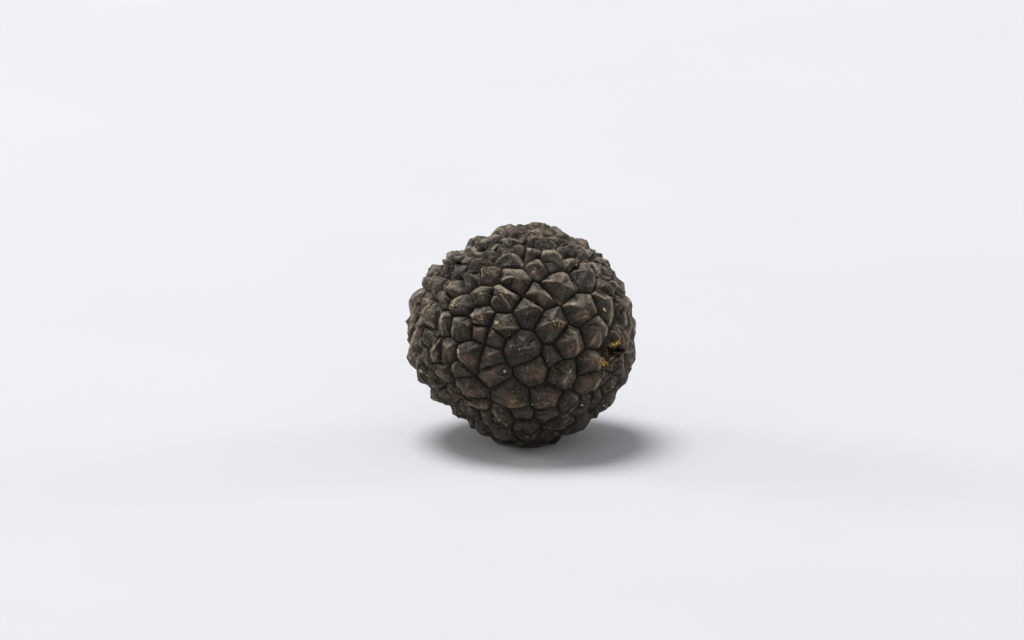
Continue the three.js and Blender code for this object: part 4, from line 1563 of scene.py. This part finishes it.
def add_values(mesh: bpy.types.Mesh, name: str, domain: str, values: Floats) -> None:
    """Adds a named value to every point or face of a mesh."""
    mark = mesh.attributes.new(name, "FLOAT", domain)
    mark.data.foreach_set("value", values.astype(np.float32))


def add_vectors(mesh: bpy.types.Mesh, name: str, vectors: Floats) -> None:
    """Adds a named vector to every face corner of a mesh."""
    mark = mesh.attributes.new(name, "FLOAT_VECTOR", "CORNER")
    mark.data.foreach_set("vector", vectors.astype(np.float32).ravel())


def round_crumb() -> tuple[Floats, list[tuple[int, ...]]]:
    """Gives the points and faces of a round crumb with a radius of one.

    Returns:
        The points and the faces.
    """
    mesh = bmesh.new()
    bmesh.ops.create_icosphere(mesh, subdivisions=2, radius=1)
    points = np.array([tuple(vertex.co) for vertex in mesh.verts])
    faces = [tuple(vertex.index for vertex in face.verts) for face in mesh.faces]
    mesh.free()
    return points, faces


# ---- the skin


@dataclass
class SkinSpots:
    """Where each point of the skin is on its wart, and what it carries, one value a point."""

    wart: Wholes
    sector: Wholes
    along: Floats
    out: Floats
    down: Floats
    side: Floats
    reach: Floats
    ridge: Floats
    direction: Floats
    face: Floats
    crack: Floats = field(init=False)
    crest: Floats = field(init=False)
    rot: Floats = field(init=False)
    hollow: Floats = field(init=False)

    def ridge_gap(self) -> Floats:
        """Gives the distance from each point to the nearer of the two ridges that bound its sector."""
        return np.minimum(self.along, 1 - self.along) * self.side * self.out

    def rim_gap(self) -> Floats:
        """Gives the distance from each point in to the rim."""
        return (1 - self.out) * self.reach

    def shown(self, behind: float = 0.0) -> Flags:
        """Gives whether each point lies on the show face, or at most so far behind its edge."""
        return self.face[:, 2] > -behind

    def away(self, right: float, up: float) -> Floats:
        """Gives the distance from each point to a place of the show face."""
        return np.hypot(self.face[:, 0] - right, self.face[:, 1] - up)

    def off_line(self, right: float, up: float, to_right: float, to_up: float) -> Floats:
        """Gives the distance from each point to a line across the show face."""
        return away_from_line(self.face[:, :2], np.array([right, up]), np.array([to_right, to_up]))

    def in_patches(self, patches: Rows) -> Floats:
        """Gives how far each point lies in some round patches of the show face, from 0 to 1."""
        inside = [hump(self.away(right, up), radius) for right, up, radius in patches]
        return np.maximum.reduce(inside) * self.shown()


@dataclass(frozen=True)
class SkinMarks:
    """What each place of the skin is, for the rind's shader: values of points and faces, and the grain."""

    points: dict[str, Floats]
    faces: dict[str, Floats]
    grain: Floats


@dataclass(frozen=True)
class CrownShape:
    """A sound wart: how high it stands, how it falls to its rim, and its ridges and facets."""

    rise: float = 1.2
    ordinary_breadth: float = 2.4
    rise_limits: Pair = (0.55, 1.2)
    rim_depth: float = 0.95
    flank_drop: float = 0.35
    flank_power: float = 9.0
    powers: Pair = (1.0, 1.5)
    hidden_bluntness: float = 0.4
    ridge_spread: float = 0.2
    crest_rise: float = 0.22
    upper_crest_rise: float = 0.22
    upper_levels: Pair = (0.2, 0.75)
    bow: Pair = (-0.2, 0.03)
    full_bow_side: float = 3.0
    most_bow: float = 1.4


@dataclass(frozen=True)
class FurrowShape:
    """The furrow round each wart, which is the solid's, and how it varies."""

    depth: float = 0.75
    floor_power: float = 1.3
    half_width: float = 0.23
    corner_inset: float = 0.85
    unevenness: float = 0.4
    wavelength: float = 2.3
    side_narrowing: float = 0.85
    corner_widening: float = 0.35
    widening_power: float = 2.5
    least_reach: float = 0.5
    most_share: float = 0.5


@dataclass(frozen=True)
class FissureShape:
    """The fissures that run out from some tips to their rims. Pairs are a start and what chance adds."""

    share: float = 0.35
    depth: float = 0.28
    half_width: float = 0.16
    least_side: float = 1.5
    line: Pair = (0.25, 0.5)
    sway: float = 0.06
    sway_turns: Pair = (9.0, 20.0)
    begins: Pair = (0.2, 0.4)
    full: Pair = (0.45, 0.4)
    layered_loss: float = 0.8


@dataclass(frozen=True)
class TerraceShape:
    """The low steps that run round some warts."""

    step: float = 0.8
    rise: float = 0.12
    layered_rise: float = 0.03
    wander: float = 0.6
    wavelength: float = 1.5
    riser: float = 0.7
    inner_fade: Pair = (0.1, 0.35)
    outer_fade: Pair = (1.0, 0.8)


@dataclass(frozen=True)
class RotShape:
    """The pit of the rotted wart, the hollow in it, the flesh round that, and the worm hole."""

    pit_lip: float = 0.35
    pit_depth: float = 2.6
    pit_power: float = 1.25
    pit_lumpiness: float = 3.0
    flesh_rise: float = 0.22
    flesh_lump: float = 0.5
    flesh_margin: float = 0.08
    hole_depth: float = 1.4
    hole_levels: Pair = (1.15, 0.75)
    hollow_levels: Pair = (1.15, 0.8)
    ragged_share: float = 0.25
    ragged_size: float = 0.9


@dataclass(frozen=True)
class EdgeMarks:
    """How broad the marked ridges, rims, tips and cracks are, and which slopes count as turned up, for
    painted top light and dust.
    """

    half_width: float = 0.18
    ridge_start: Pair = (0.1, 0.4)
    ridge_rises: Pair = (-0.02, 0.18)
    tip_radius: float = 0.75
    full_crack: float = 0.3
    crust_fade: float = 0.6
    dust_slopes: Pair = (0.42, 0.96)
    lifted_slopes: Pair = (-0.4, 0.15)
    lifted_line: Pair = (0.45, 0.55)


@dataclass
class TruffleSkin:
    """The whole skin: low polygonal warts, the furrows between them, and the scars and cracks in them.

    The heights above the ball, the ordinary breadth and the furrow are those of the solid.
    """

    ball: BallForm
    layout: WartLayout
    grid: SkinGrid
    finish: RindFinish
    crown: CrownShape = CrownShape()
    furrow: FurrowShape = FurrowShape()
    fissure: FissureShape = FissureShape()
    terrace: TerraceShape = TerraceShape()
    rotting: RotShape = RotShape()
    edges: EdgeMarks = EdgeMarks()
    fold_rise: float = 0.16
    crest_spread: float = 1.2
    crest_reach: float = 3.0
    crest_behind: float = 1.0
    lumps: Rows = ((2.2, 0.1), (1.0, 0.035))
    lumps_in_furrow: float = 0.5
    drifts: Rows = ((2.4, 0.15), (0.9, 0.03))
    worn_level: float = -0.35
    worn_fade: float = 0.4
    worn_behind: float = 0.3
    sector_step: float = 7.31
    sector_span: float = 50.0
    points: Floats = field(default_factory=lambda: np.zeros((0, 3)))
    shift: Floats = field(default_factory=lambda: np.zeros(3))

    def build(self) -> list[Piece]:
        """Makes the skin in a left, a right and a back piece, marks its places and dresses it.

        Returns:
            The finished pieces.
        """
        spots = self._spots()
        points = self.ball.surface(spots.direction, self._heights(spots))
        for wavelength, reach in self.drifts:
            points += smooth_drift(points, wavelength) * reach
        spots.face = self.ball.to_face(points)
        spots.crack = self._cracks(spots)
        spots.crest = self._crests(spots)
        spots.rot = self._rot_flesh(spots)
        spots.hollow = np.maximum(self._worm_hole(spots), self._rot_hollow(spots))
        lumpy = 1 + smooth_noise(points, self.rotting.flesh_lump, offset=61.0)
        crumbs = self.rotting.flesh_rise * spots.rot * lumpy
        points += spots.direction * (self.fold_rise * spots.crest + crumbs - spots.crack)[:, None]
        points -= self.ball.axes()[2] * (self.rotting.hole_depth * spots.hollow)[:, None]
        tips = self.ball.surface(self.layout.tips(), 0.0)
        middle = (tips.min(axis=0) + tips.max(axis=0)) / 2
        self.shift = np.array([-middle[0], -middle[1], self.ball.rest_depth])
        points += self.shift
        points[:, 2] = np.maximum(points[:, 2], 0)
        self.points = points
        marks = SkinMarks(self._point_marks(spots), self._face_marks(), self._grain())
        material = self.finish.material()
        return [self._piece(side, marks, material) for side in SkinSide]

    def _piece(self, side: SkinSide, marks: SkinMarks, material: Material) -> Piece:
        """Makes one piece of the skin.

        Args:
            side: Which piece.
            marks: What each place of the whole skin is.
            material: Its material.

        Returns:
            The finished piece.
        """
        sides = np.array([self.layout.side_of(wart) is side for wart in self.layout.warts])
        kept = np.flatnonzero(sides[np.array(self.grid.sector_wart)[np.array(self.grid.face_sector)]])
        used, corners = np.unique(np.array(self.grid.faces)[kept], return_inverse=True)
        piece = new_piece(f"skin_{side.value}", self.points[used], corners.reshape(-1, 3).tolist())
        for name, values in marks.points.items():
            add_values(piece.data, name, "POINT", values[used])
        for name, values in marks.faces.items():
            add_values(piece.data, name, "FACE", values[kept])
        add_vectors(piece.data, "grain", marks.grain[kept])
        piece.data.materials.append(material)
        return piece

    def _spots(self) -> SkinSpots:
        """Works out where every point of the net is on its wart and in which direction from the middle.

        Returns:
            The spots.
        """
        corners = self.layout.corners
        wart = np.array(self.grid.wart_of)
        ends = np.array(self.grid.ends_of)
        along, out, down = np.array(self.grid.spot_of).T
        first, second, tip = corners[ends[:, 0]], corners[ends[:, 1]], self.layout.tips()[wart]
        radius = self.ball.depth_radius
        edge = unit(first + (second - first) * along[:, None])
        reach = np.arccos(np.clip((edge * tip).sum(axis=1), -1, 1)) * radius
        side = np.arccos(np.clip((first * second).sum(axis=1), -1, 1)) * radius
        rim = 1 - self._furrow_share(along, reach, edge * radius)
        share = out * rim + down * (1 - rim)
        direction = unit(tip * (1 - share[:, None]) + edge * share[:, None])
        parts = self.ball.to_face(direction)
        outline = self.ball.outline_radius(np.arctan2(parts[:, 1], parts[:, 0]))
        face = np.stack([parts[:, 0] * outline, parts[:, 1] * outline, parts[:, 2]], axis=1)
        sector = np.array(self.grid.sector_of)
        first_ridge, second_ridge = (self._ridge_rise(wart, ends[:, place]) for place in range(2))
        ridge = first_ridge * (1 - along) + second_ridge * along
        return SkinSpots(wart, sector, along, out, down, side, reach, ridge, direction, face)

    def _furrow_share(self, along: Floats, reach: Floats, edge: Floats) -> Floats:
        """Gives how much of the way from a tip to the furrow's floor the furrow takes.

        Args:
            along: Each point's share of the way along its side.
            reach: The length of the way, in millimetres.
            edge: The place of the floor, in millimetres from the ball's centre.

        Returns:
            One share a point.
        """
        furrow = self.furrow
        width = 1 + furrow.unevenness * smooth_noise(edge, furrow.wavelength, offset=7.0)
        widening = furrow.corner_widening * np.abs(2 * along - 1) ** furrow.widening_power
        width *= furrow.side_narrowing + widening
        inset = furrow.corner_inset * furrow.half_width * width
        return np.clip(inset / np.maximum(reach, furrow.least_reach), 0, furrow.most_share)

    def _ridge_rise(self, wart: Wholes, corner: Wholes) -> Floats:
        """Gives how far the ridge from a wart's tip to a corner stands up from an even pyramid.

        Level ridges stand up more than those that run up and down, so that a crest crosses the wart.

        Args:
            wart: The warts.
            corner: The corners, one for each wart.

        Returns:
            One height for each, in millimetres, below zero where the ridge is sunk.
        """
        tips = self.layout.tips()[wart]
        spoke = unit(self.layout.corners[corner] - tips)
        level = unit(np.cross([0.0, 0.0, 1.0], tips) + [LEAST_SIDEWAYS, 0.0, 0.0])
        crest = 2 * (spoke * level).sum(axis=1) ** 2 - 1
        upper = smoothstep(*self.crown.upper_levels, self.ball.to_face(tips)[:, 1])
        chance = self.crown.ridge_spread * (2 * scatter_pairs(wart, corner) - 1)
        return chance + (self.crown.crest_rise + self.crown.upper_crest_rise * upper) * crest

    def _heights(self, spots: SkinSpots) -> Floats:
        """Gives the height of every point above the surface of the ordinary wart tips.

        Args:
            spots: Where the points are.

        Returns:
            One height a point, in millimetres.
        """
        rotted = self.layout.rotted()[spots.wart]
        heights = np.where(rotted, self._pit_height(spots), self._crown_height(spots))
        heights += self._facet_relief(spots) * np.where(rotted, 0.0, 1.0)
        heights -= self.furrow.depth * spots.down**self.furrow.floor_power
        left = np.where(rotted, 1.0, self._relief_left(spots))
        heights = self.worn_level + (heights - self.worn_level) * left
        place = spots.direction * self.ball.depth_radius
        lumps = sum(smooth_noise(place, size, offset=3.0) * reach for size, reach in self.lumps)
        lumps = lumps * np.where(rotted, self.rotting.pit_lumpiness, 1.0)
        heights += lumps * (1 - self.lumps_in_furrow * spots.down)
        return heights

    def _crown_height(self, spots: SkinSpots) -> Floats:
        """Gives the height of every point as if its wart were sound and its facets flat.

        Args:
            spots: Where the points are.

        Returns:
            One height a point, in millimetres.
        """
        crown, warts = self.crown, self.layout.warts
        sizes = np.array([wart.size * wart.variation for wart in warts])
        rise = crown.rise * np.clip(sizes / crown.ordinary_breadth, *crown.rise_limits)
        low, high = crown.powers
        hidden = np.array([self.layout.side_of(wart) is SkinSide.BACK for wart in warts])
        chance = scatter_row(len(warts), Use.CROWN)
        power = (low + (high - low) * chance + crown.hidden_bluntness * hidden)[spots.wart]
        tip = rise[spots.wart] - crown.rise
        fall = (tip + crown.rim_depth) * spots.out**power
        return tip - fall - crown.flank_drop * spots.out**crown.flank_power

    def _pit_height(self, spots: SkinSpots) -> Floats:
        """Gives the height of every point as if its wart were the rotted pit."""
        lip, depth = self.rotting.pit_lip, self.rotting.pit_depth
        return -lip - (depth - lip) * (1 - spots.out) ** self.rotting.pit_power - self.crown.rim_depth

    def _relief_left(self, spots: SkinSpots) -> Floats:
        """Gives the share of the warts' relief that is left in each place of the skin.

        Args:
            spots: Where the points are.

        Returns:
            One share a point.
        """
        left = np.ones(len(spots.wart))
        for right, up, radius, share in RELIEF_PLACES:
            worn = smoothstep(radius, radius * self.worn_fade, spots.away(right, up))
            left *= 1 - (1 - share) * (worn * spots.shown(self.worn_behind))
        return left

    def _facet_relief(self, spots: SkinSpots) -> Floats:
        """Gives the bow of each facet and the fissures that run out from some tips to their rims.

        Args:
            spots: Where the points are.

        Returns:
            One height a point, in millimetres.
        """
        chance = scatter_row(len(self.grid.sector_wart), Use.BOW)[spots.sector]
        low, high = self.crown.bow
        middle = np.sin(math.pi * spots.out)
        humped = 4 * spots.along * (1 - spots.along) * middle
        breadth = np.minimum(spots.side / self.crown.full_bow_side, self.crown.most_bow)
        relief = (low + (high - low) * chance) * humped * breadth
        relief += spots.ridge * middle + self._terraces(spots)
        return relief - self._fissures(spots)

    def _fissures(self, spots: SkinSpots) -> Floats:
        """Gives the depth of the fissures that run out from some tips to their rims.

        Args:
            spots: Where the points are.

        Returns:
            One depth a point, in millimetres.
        """
        fissure = self.fissure
        uses = (Use.FISSURE, Use.FISSURE_LINE, Use.FISSURE_START)
        chance, line, start = (scatter_row(len(self.grid.sector_wart), use)[spots.sector] for use in uses)
        per_way, per_line = fissure.sway_turns
        wander = fissure.line[0] + fissure.line[1] * line
        wander = wander + fissure.sway * np.sin(spots.out * per_way + line * per_line)
        groove = hump((spots.along - wander) * spots.side * spots.out, fissure.half_width)
        begins, full = (first + added * start for first, added in (fissure.begins, fissure.full))
        groove *= smoothstep(begins, full, spots.out) * (1 - spots.down)
        groove *= (chance < fissure.share) * (spots.side > fissure.least_side)
        return groove * fissure.depth * (1 - fissure.layered_loss * self.layout.layering()[spots.wart])

    def _terraces(self, spots: SkinSpots) -> Floats:
        """Gives the low steps that run round some warts, as where layers of the rind have worn back.

        Args:
            spots: Where the points are.

        Returns:
            One height a point, in millimetres.
        """
        terrace = self.terrace
        rises = np.array([
            terrace.rise * scatter(place, Use.TERRACE) ** 2 + terrace.layered_rise * layered
            for place, layered in enumerate(self.layout.layering().tolist())
        ])
        wander = smooth_noise(spots.direction * self.ball.depth_radius, terrace.wavelength, offset=21.0)
        level = spots.out * spots.reach / terrace.step + terrace.wander * wander
        part = level - np.floor(level)
        step = part - smoothstep(terrace.riser, 1.0, part)
        fade = smoothstep(*terrace.inner_fade, spots.out) * smoothstep(*terrace.outer_fade, spots.out)
        return rises[spots.wart] * step * fade

    def _worm_hole(self, spots: SkinSpots) -> Floats:
        """Gives how far each point lies in the worm hole, from 0 to 1."""
        right, up, radius = WORM_HOLE
        return smoothstep(*self.rotting.hole_levels, spots.away(right, up) / radius) * spots.shown()

    def _rot_hollow(self, spots: SkinSpots) -> Floats:
        """Gives how far each point lies in the ragged hollow of the rotted wart, from 0 to 1.

        Args:
            spots: Where the points are.

        Returns:
            One value a point.
        """
        right, up, half_breadth, half_height = ROT_HOLLOW
        away = np.hypot((spots.face[:, 0] - right) / half_breadth, (spots.face[:, 1] - up) / half_height)
        place = spots.direction * self.ball.depth_radius
        ragged = self.rotting.ragged_share * smooth_noise(place, self.rotting.ragged_size, offset=51.0)
        return smoothstep(*self.rotting.hollow_levels, away + ragged) * spots.shown()

    def _rot_flesh(self, spots: SkinSpots) -> Floats:
        """Gives how far each point lies in the crumbling flesh round the hollow, from 0 to 1.

        Args:
            spots: Where the points are.

        Returns:
            One value a point.
        """
        margin = self.rotting.flesh_margin
        strips = [hump(spots.off_line(*line), stray + margin) for *line, stray, _, _ in ROT_STRIPS]
        return np.maximum.reduce(strips) * spots.shown()

    def _crests(self, spots: SkinSpots) -> Floats:
        """Gives how far each point lies on the crests listed for the show face, which are pale partly from
        wear and partly as painted highlight.

        Args:
            spots: Where the points are.

        Returns:
            One value a point, from 0 to 1.
        """
        crests = np.zeros(len(spots.wart))
        places, shown = spots.face[:, :2], spots.shown(self.crest_behind)
        for half_width, paleness, *line in WORN_AND_LIT_CRESTS:
            corners = np.array(line).reshape(-1, 2)
            reach = self.crest_reach * half_width * self.crest_spread
            inside = (places > corners.min(axis=0) - reach) & (places < corners.max(axis=0) + reach)
            near = np.flatnonzero(inside.all(axis=1) & shown)
            for start, end in zip(corners, corners[1:]):
                away = away_from_line(places[near], start, end)
                crest = paleness * hump(away, half_width * self.crest_spread)
                crests[near] = np.maximum(crests[near], crest)
        return crests * (1 - spots.down)

    def _cracks(self, spots: SkinSpots) -> Floats:
        """Gives the depth of the cracks listed for the show face, in millimetres; the shader paints them
        with near-black shade.
        """
        cracks = [depth * hump(spots.off_line(*line), half_width) for *line, half_width, depth in CRACKS]
        return np.maximum.reduce(cracks) * spots.shown()

    def _point_marks(self, spots: SkinSpots) -> dict[str, Floats]:
        """Gives what each point of the skin is, by name.

        Args:
            spots: Where the points are.

        Returns:
            One value a point for each name.
        """
        edges = self.edges
        rotted = self.layout.rotted()[spots.wart]
        sound = np.where(rotted, 0.0, 1.0)
        upper = 1 - spots.down
        ridge = hump(spots.ridge_gap(), edges.half_width) * smoothstep(*edges.ridge_start, spots.out)
        ridge *= smoothstep(*edges.ridge_rises, spots.ridge)
        return {
            "furrow": spots.down,
            # the share out to the rim, which the shader turns into painted shade on the flanks
            "painted_flank_shade": spots.out * sound,
            "ridge": ridge * upper * sound,
            "rim": hump(spots.rim_gap(), edges.half_width) * upper * sound,
            "tip": hump(spots.out * spots.reach, edges.tip_radius) * sound,
            "crack": np.clip(spots.crack / edges.full_crack, 0, 1),
            "crest": spots.crest,
            "crust": rotted * (1 - edges.crust_fade * spots.down),
            "rot": spots.rot,
            "hollow": spots.hollow,
            "dusty": spots.in_patches(DUST_PATCHES),
            "rusty": spots.in_patches(RUST_PATCHES),
        }

    def _upward(self) -> Floats:
        """Gives how far each face looks up, from 0 for level or down to 1 for up: a mask for painted top
        light and for where dust settles.

        Returns:
            One value a face.
        """
        faces = np.array(self.grid.faces)
        first, second, third = (self.points[faces[:, side]] for side in range(3))
        normals = np.cross(second - first, third - first)
        normals /= np.maximum(np.linalg.norm(normals, axis=1, keepdims=True), LEAST_LENGTH)
        out = unit((first + second + third) / 3 - [0.0, 0.0, self.ball.rest_depth])
        normals *= np.sign((normals * out).sum(axis=1))[:, None]
        lifted = smoothstep(*self.edges.lifted_slopes, normals[:, 2] - out[:, 2])
        start, factor = self.edges.lifted_line
        return smoothstep(*self.edges.dust_slopes, normals[:, 2]) * (start + factor * lifted)

    def _face_marks(self) -> dict[str, Floats]:
        """Gives what each face of the skin is, by name.

        Returns:
            One value a face for each name.
        """
        face_sector = np.array(self.grid.face_sector)
        face_wart = np.array(self.grid.sector_wart)[face_sector]
        return {
            "layered": self.layout.layering()[face_wart],
            "wart_tone": scatter_row(len(self.layout.warts), Use.WART_TONE)[face_wart],
            "facet_tone": scatter_row(len(self.grid.sector_wart), Use.FACET_TONE)[face_sector],
            # faces that look up: a mask for painted top light and settled dust
            "upward_light_and_dust": self._upward(),
        }

    def _grain(self) -> Floats:
        """Gives where each face corner is along and out from the tip, in millimetres, sector by sector.

        Returns:
            Three vectors a face: along the side, out from the tip, and a number of the sector's own.
        """
        face_sector = np.array(self.grid.face_sector)
        ends = np.array(self.grid.sector_ends)
        first, second = self.layout.corners[ends[:, 0]], self.layout.corners[ends[:, 1]]
        tips = self.layout.tips()[np.array(self.grid.sector_wart)]
        radius = self.ball.depth_radius
        side = np.linalg.norm(second - first, axis=1) * radius
        reach = np.linalg.norm(unit(first + second) - tips, axis=1) * radius
        spots = np.array(self.grid.face_spots)
        grain = np.empty((len(face_sector), 3, 3))
        grain[:, :, 0] = spots[:, :, 0] * side[face_sector][:, None]
        grain[:, :, 1] = spots[:, :, 1] * reach[face_sector][:, None]
        grain[:, :, 2] = (face_sector * self.sector_step % self.sector_span)[:, None]
        return grain


# ---- grains of soil


class GrainTone(Enum):
    """The colour of a grain of soil."""

    PALE = "pale"
    DULL = "dull"
    OCHRE = "ochre"
    ROT = "rot"


@dataclass
class SoilGrains:
    """Crumbs of dried soil that cling to the skin, sunk into it by a part of their height."""

    ball: BallForm
    skin: TruffleSkin
    finishes: dict[GrainTone, SoilFinish]
    scattered: int = 60
    smallest: float = 0.06
    largest: float = 0.14
    ochre_share: float = 0.2
    dull_below: float = 0.17
    flattening: float = 0.75
    sunk: float = 0.35
    roughness: float = 0.28
    lump_size: float = 0.9
    stretches: Pair = (0.75, 1.25)
    noise_span: float = 50.0
    rot_sizes: Pair = (0.35, 1.0)
    least_height: float = 1.0
    seed: int = 5

    def build(self) -> Piece:
        """Makes every grain, in one piece, and dresses each in its own tone.

        Returns:
            The finished piece.
        """
        rng = np.random.default_rng(self.seed)
        ball_vertices, ball_faces = round_crumb()
        points, faces, tones = [], [], []
        for centre, radius, tone in self._places(rng):
            out = unit(centre - np.array([0, 0, self.ball.rest_depth]))
            crumb = self._crumb(ball_vertices, out, radius, rng)
            faces += [tuple(place + len(points) * len(crumb) for place in face) for face in ball_faces]
            points.append(centre + crumb + out * radius * (self.flattening / 2 - self.sunk))
            tones += [tone] * len(ball_faces)
        piece = new_piece("soil_grains", np.concatenate(points), faces)
        for tone in GrainTone:
            piece.data.materials.append(self.finishes[tone].material())
        slots = [list(GrainTone).index(tone) for tone in tones]
        piece.data.polygons.foreach_set("material_index", slots)
        return piece

    def _places(self, rng: np.random.Generator) -> list[tuple[Floats, float, GrainTone]]:
        """Finds where every grain sits: those listed first, then the scattered ones.

        Args:
            rng: The source of chance for the scattered ones.

        Returns:
            The point of the skin, the radius and the tone of each grain.
        """
        places = []
        for right, up, radius in PALE_GRAINS:
            tone = GrainTone.DULL if radius < self.dull_below else GrainTone.PALE
            places.append((self._on_show_face(right, up), radius, tone))
        for right, up, radius in OCHRE_GRAINS:
            places.append((self._on_show_face(right, up), radius, GrainTone.OCHRE))
        for right, up, to_right, to_up, stray, count, largest in ROT_STRIPS:
            for _ in range(int(count)):
                share, (aside, above) = rng.random(), rng.normal(0, stray / 2, 2)
                at_right = right + (to_right - right) * share + aside
                at_up = up + (to_up - up) * share + above
                radius = largest * rng.uniform(*self.rot_sizes)
                places.append((self._on_show_face(at_right, at_up), radius, GrainTone.ROT))
        for _ in range(self.scattered):
            centre = self.skin.points[rng.integers(len(self.skin.points))]
            radius = rng.uniform(self.smallest, self.largest)
            tone = GrainTone.OCHRE if rng.random() < self.ochre_share else GrainTone.DULL
            if centre[2] > self.least_height:
                places.append((centre, radius, tone))
        return places

    def _on_show_face(self, right: float, up: float) -> Floats:
        """Gives the point of the skin that shows at a place of the show face.

        Args:
            right: The place to the right of the face's middle.
            up: The place above it.

        Returns:
            The point.
        """
        parts = self.ball.to_face(self.skin.points - self.skin.shift)
        away = np.hypot(parts[:, 0] - right, parts[:, 1] - up)
        away[parts[:, 2] < 0] = np.inf
        return self.skin.points[int(away.argmin())]

    def _crumb(self, ball: Floats, out: Floats, radius: float, rng: np.random.Generator) -> Floats:
        """Gives the points of one uneven crumb that lies flat on the skin.

        Args:
            ball: The points of a round crumb with a radius of one.
            out: The direction out of the skin.
            radius: The crumb's radius.
            rng: The source of chance for its shape.

        Returns:
            Its points round its own middle.
        """
        stretch = rng.uniform(*self.stretches, 3)
        lumps = 1 + self.roughness * smooth_noise(ball + rng.uniform(0, self.noise_span, 3), self.lump_size)
        crumb = ball * stretch * lumps[:, None] * radius
        height = crumb @ out
        return crumb - height[:, None] * out * (1 - self.flattening)


# ---- the studio


@dataclass(frozen=True)
class Lamp:
    """One broad soft light: where it hangs and its size in millimetres, and its power in watts."""

    name: str
    place: Place
    size: float
    power: float
    colour: Colour = (1.0, 1.0, 1.0)


@dataclass
class Studio:
    """The table, the lights and the camera. Lengths are in millimetres."""

    ball: BallForm
    floor: FloorFinish
    floor_size: float = 6000.0
    distance: float = 2400.0
    lens: float = 489.3
    right_of_middle: float = 1.7241379
    above_middle: float = 2.5862069
    lamps: tuple[Lamp, ...] = (
        Lamp("key", (-640.0, 460.0, 2850.0), 1440.0, 76.0),
        Lamp("left", (-2420.0, 990.0, 990.0), 880.0, 20.0, (1.0, 0.93, 0.86)),
        Lamp("right", (2420.0, 990.0, 990.0), 880.0, 11.5, (1.0, 0.93, 0.86)),
    )
    sky: Colour = (0.93, 0.97, 1.0)
    sky_strength: float = 0.4

    def build(self, ball_shift: Floats) -> None:
        """Sets up the table, the lights and the camera round the ball.

        Args:
            ball_shift: The ball's centre in the part's frame.
        """
        self._lay_table()
        for lamp in self.lamps:
            self._hang(lamp)
        self._fill_sky()
        self._aim_camera(ball_shift)
        bpy.context.scene.view_settings.view_transform = "Standard"

    def _lay_table(self) -> None:
        """Lays out the table top under the truffle."""
        half = self.floor_size / 2
        corners = np.array([[-half, -half, 0], [half, -half, 0], [half, half, 0], [-half, half, 0]])
        table = new_piece("table", corners, [(0, 1, 2, 3)])
        table.data.materials.append(self.floor.material())

    def _hang(self, lamp: Lamp) -> None:
        """Hangs one light, aimed at the middle of the truffle.

        Args:
            lamp: The light.
        """
        disk = bpy.data.lights.new(lamp.name, "AREA")
        disk.shape = "DISK"
        disk.size = lamp.size * MM
        disk.energy = lamp.power
        disk.color = lamp.colour
        light = bpy.data.objects.new(lamp.name, disk)
        light.location = Vector(lamp.place) * MM
        aim = Vector((0, 0, self.ball.rest_depth * MM)) - light.location
        light.rotation_euler = aim.to_track_quat("-Z", "Y").to_euler()
        bpy.context.scene.collection.objects.link(light)

    def _fill_sky(self) -> None:
        """Fills the room with an even pale light."""
        world = bpy.data.worlds.new("room")
        world.use_nodes = True
        background = world.node_tree.nodes["Background"]
        background.inputs["Color"].default_value = (*self.sky, 1.0)
        background.inputs["Strength"].default_value = self.sky_strength
        bpy.context.scene.world = world

    def _aim_camera(self, ball_shift: Floats) -> None:
        """Sets the camera opposite the show face.

        Args:
            ball_shift: The ball's centre in the part's frame.
        """
        right, up, show = self.ball.axes()
        target = ball_shift - right * self.right_of_middle + up * self.above_middle
        lens = bpy.data.cameras.new("camera")
        lens.lens = self.lens
        camera = bpy.data.objects.new("camera", lens)
        camera.location = Vector(target + show * self.distance) * MM
        camera.rotation_euler = Vector(show).to_track_quat("Z", "Y").to_euler()
        bpy.context.scene.collection.objects.link(camera)
        bpy.context.scene.camera = camera


# ---- putting it together


def report(piece: Piece) -> None:
    """Writes down a finished piece and its number of faces."""
    LOG.info("%s: %d faces", piece.name, len(piece.data.polygons))


def main() -> None:
    """Builds the truffle and the studio round it."""
    logging.basicConfig(level=logging.INFO, format="%(name)s %(message)s")
    noise.seed_set(DRIFT_SEED)
    effects = Effects(make_mottle(), make_streaks())
    ball = BallForm()
    layout = WartLayout(ball)
    layout.lay_out()
    LOG.info("%d warts", len(layout.warts))
    grid = SkinGrid(layout)
    grid.build()
    skin = TruffleSkin(ball, layout, grid, RindFinish(effects))
    for skin_piece in skin.build():
        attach(skin_piece, "root")
        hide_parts("truffle")
        report(skin_piece)
    soils = {
        GrainTone.PALE: SoilFinish(effects, "Pale soil", (0.70, 0.65, 0.52), (0.40, 0.34, 0.24)),
        GrainTone.DULL: SoilFinish(effects, "Dull soil", (0.40, 0.35, 0.27), (0.24, 0.19, 0.13)),
        GrainTone.OCHRE: SoilFinish(effects, "Ochre soil", (0.80, 0.68, 0.40), (0.44, 0.28, 0.11)),
        GrainTone.ROT: SoilFinish(effects, "Rotten flesh", (0.80, 0.54, 0.18), (0.12, 0.045, 0.012),
                                  patches=Clouds(0.4, 3.0)),
    }
    grains_piece = SoilGrains(ball, skin, soils).build()
    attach(grains_piece, "root")
    report(grains_piece)
    Studio(ball, FloorFinish(effects)).build(skin.shift)


if __name__ == "__main__":
    main()
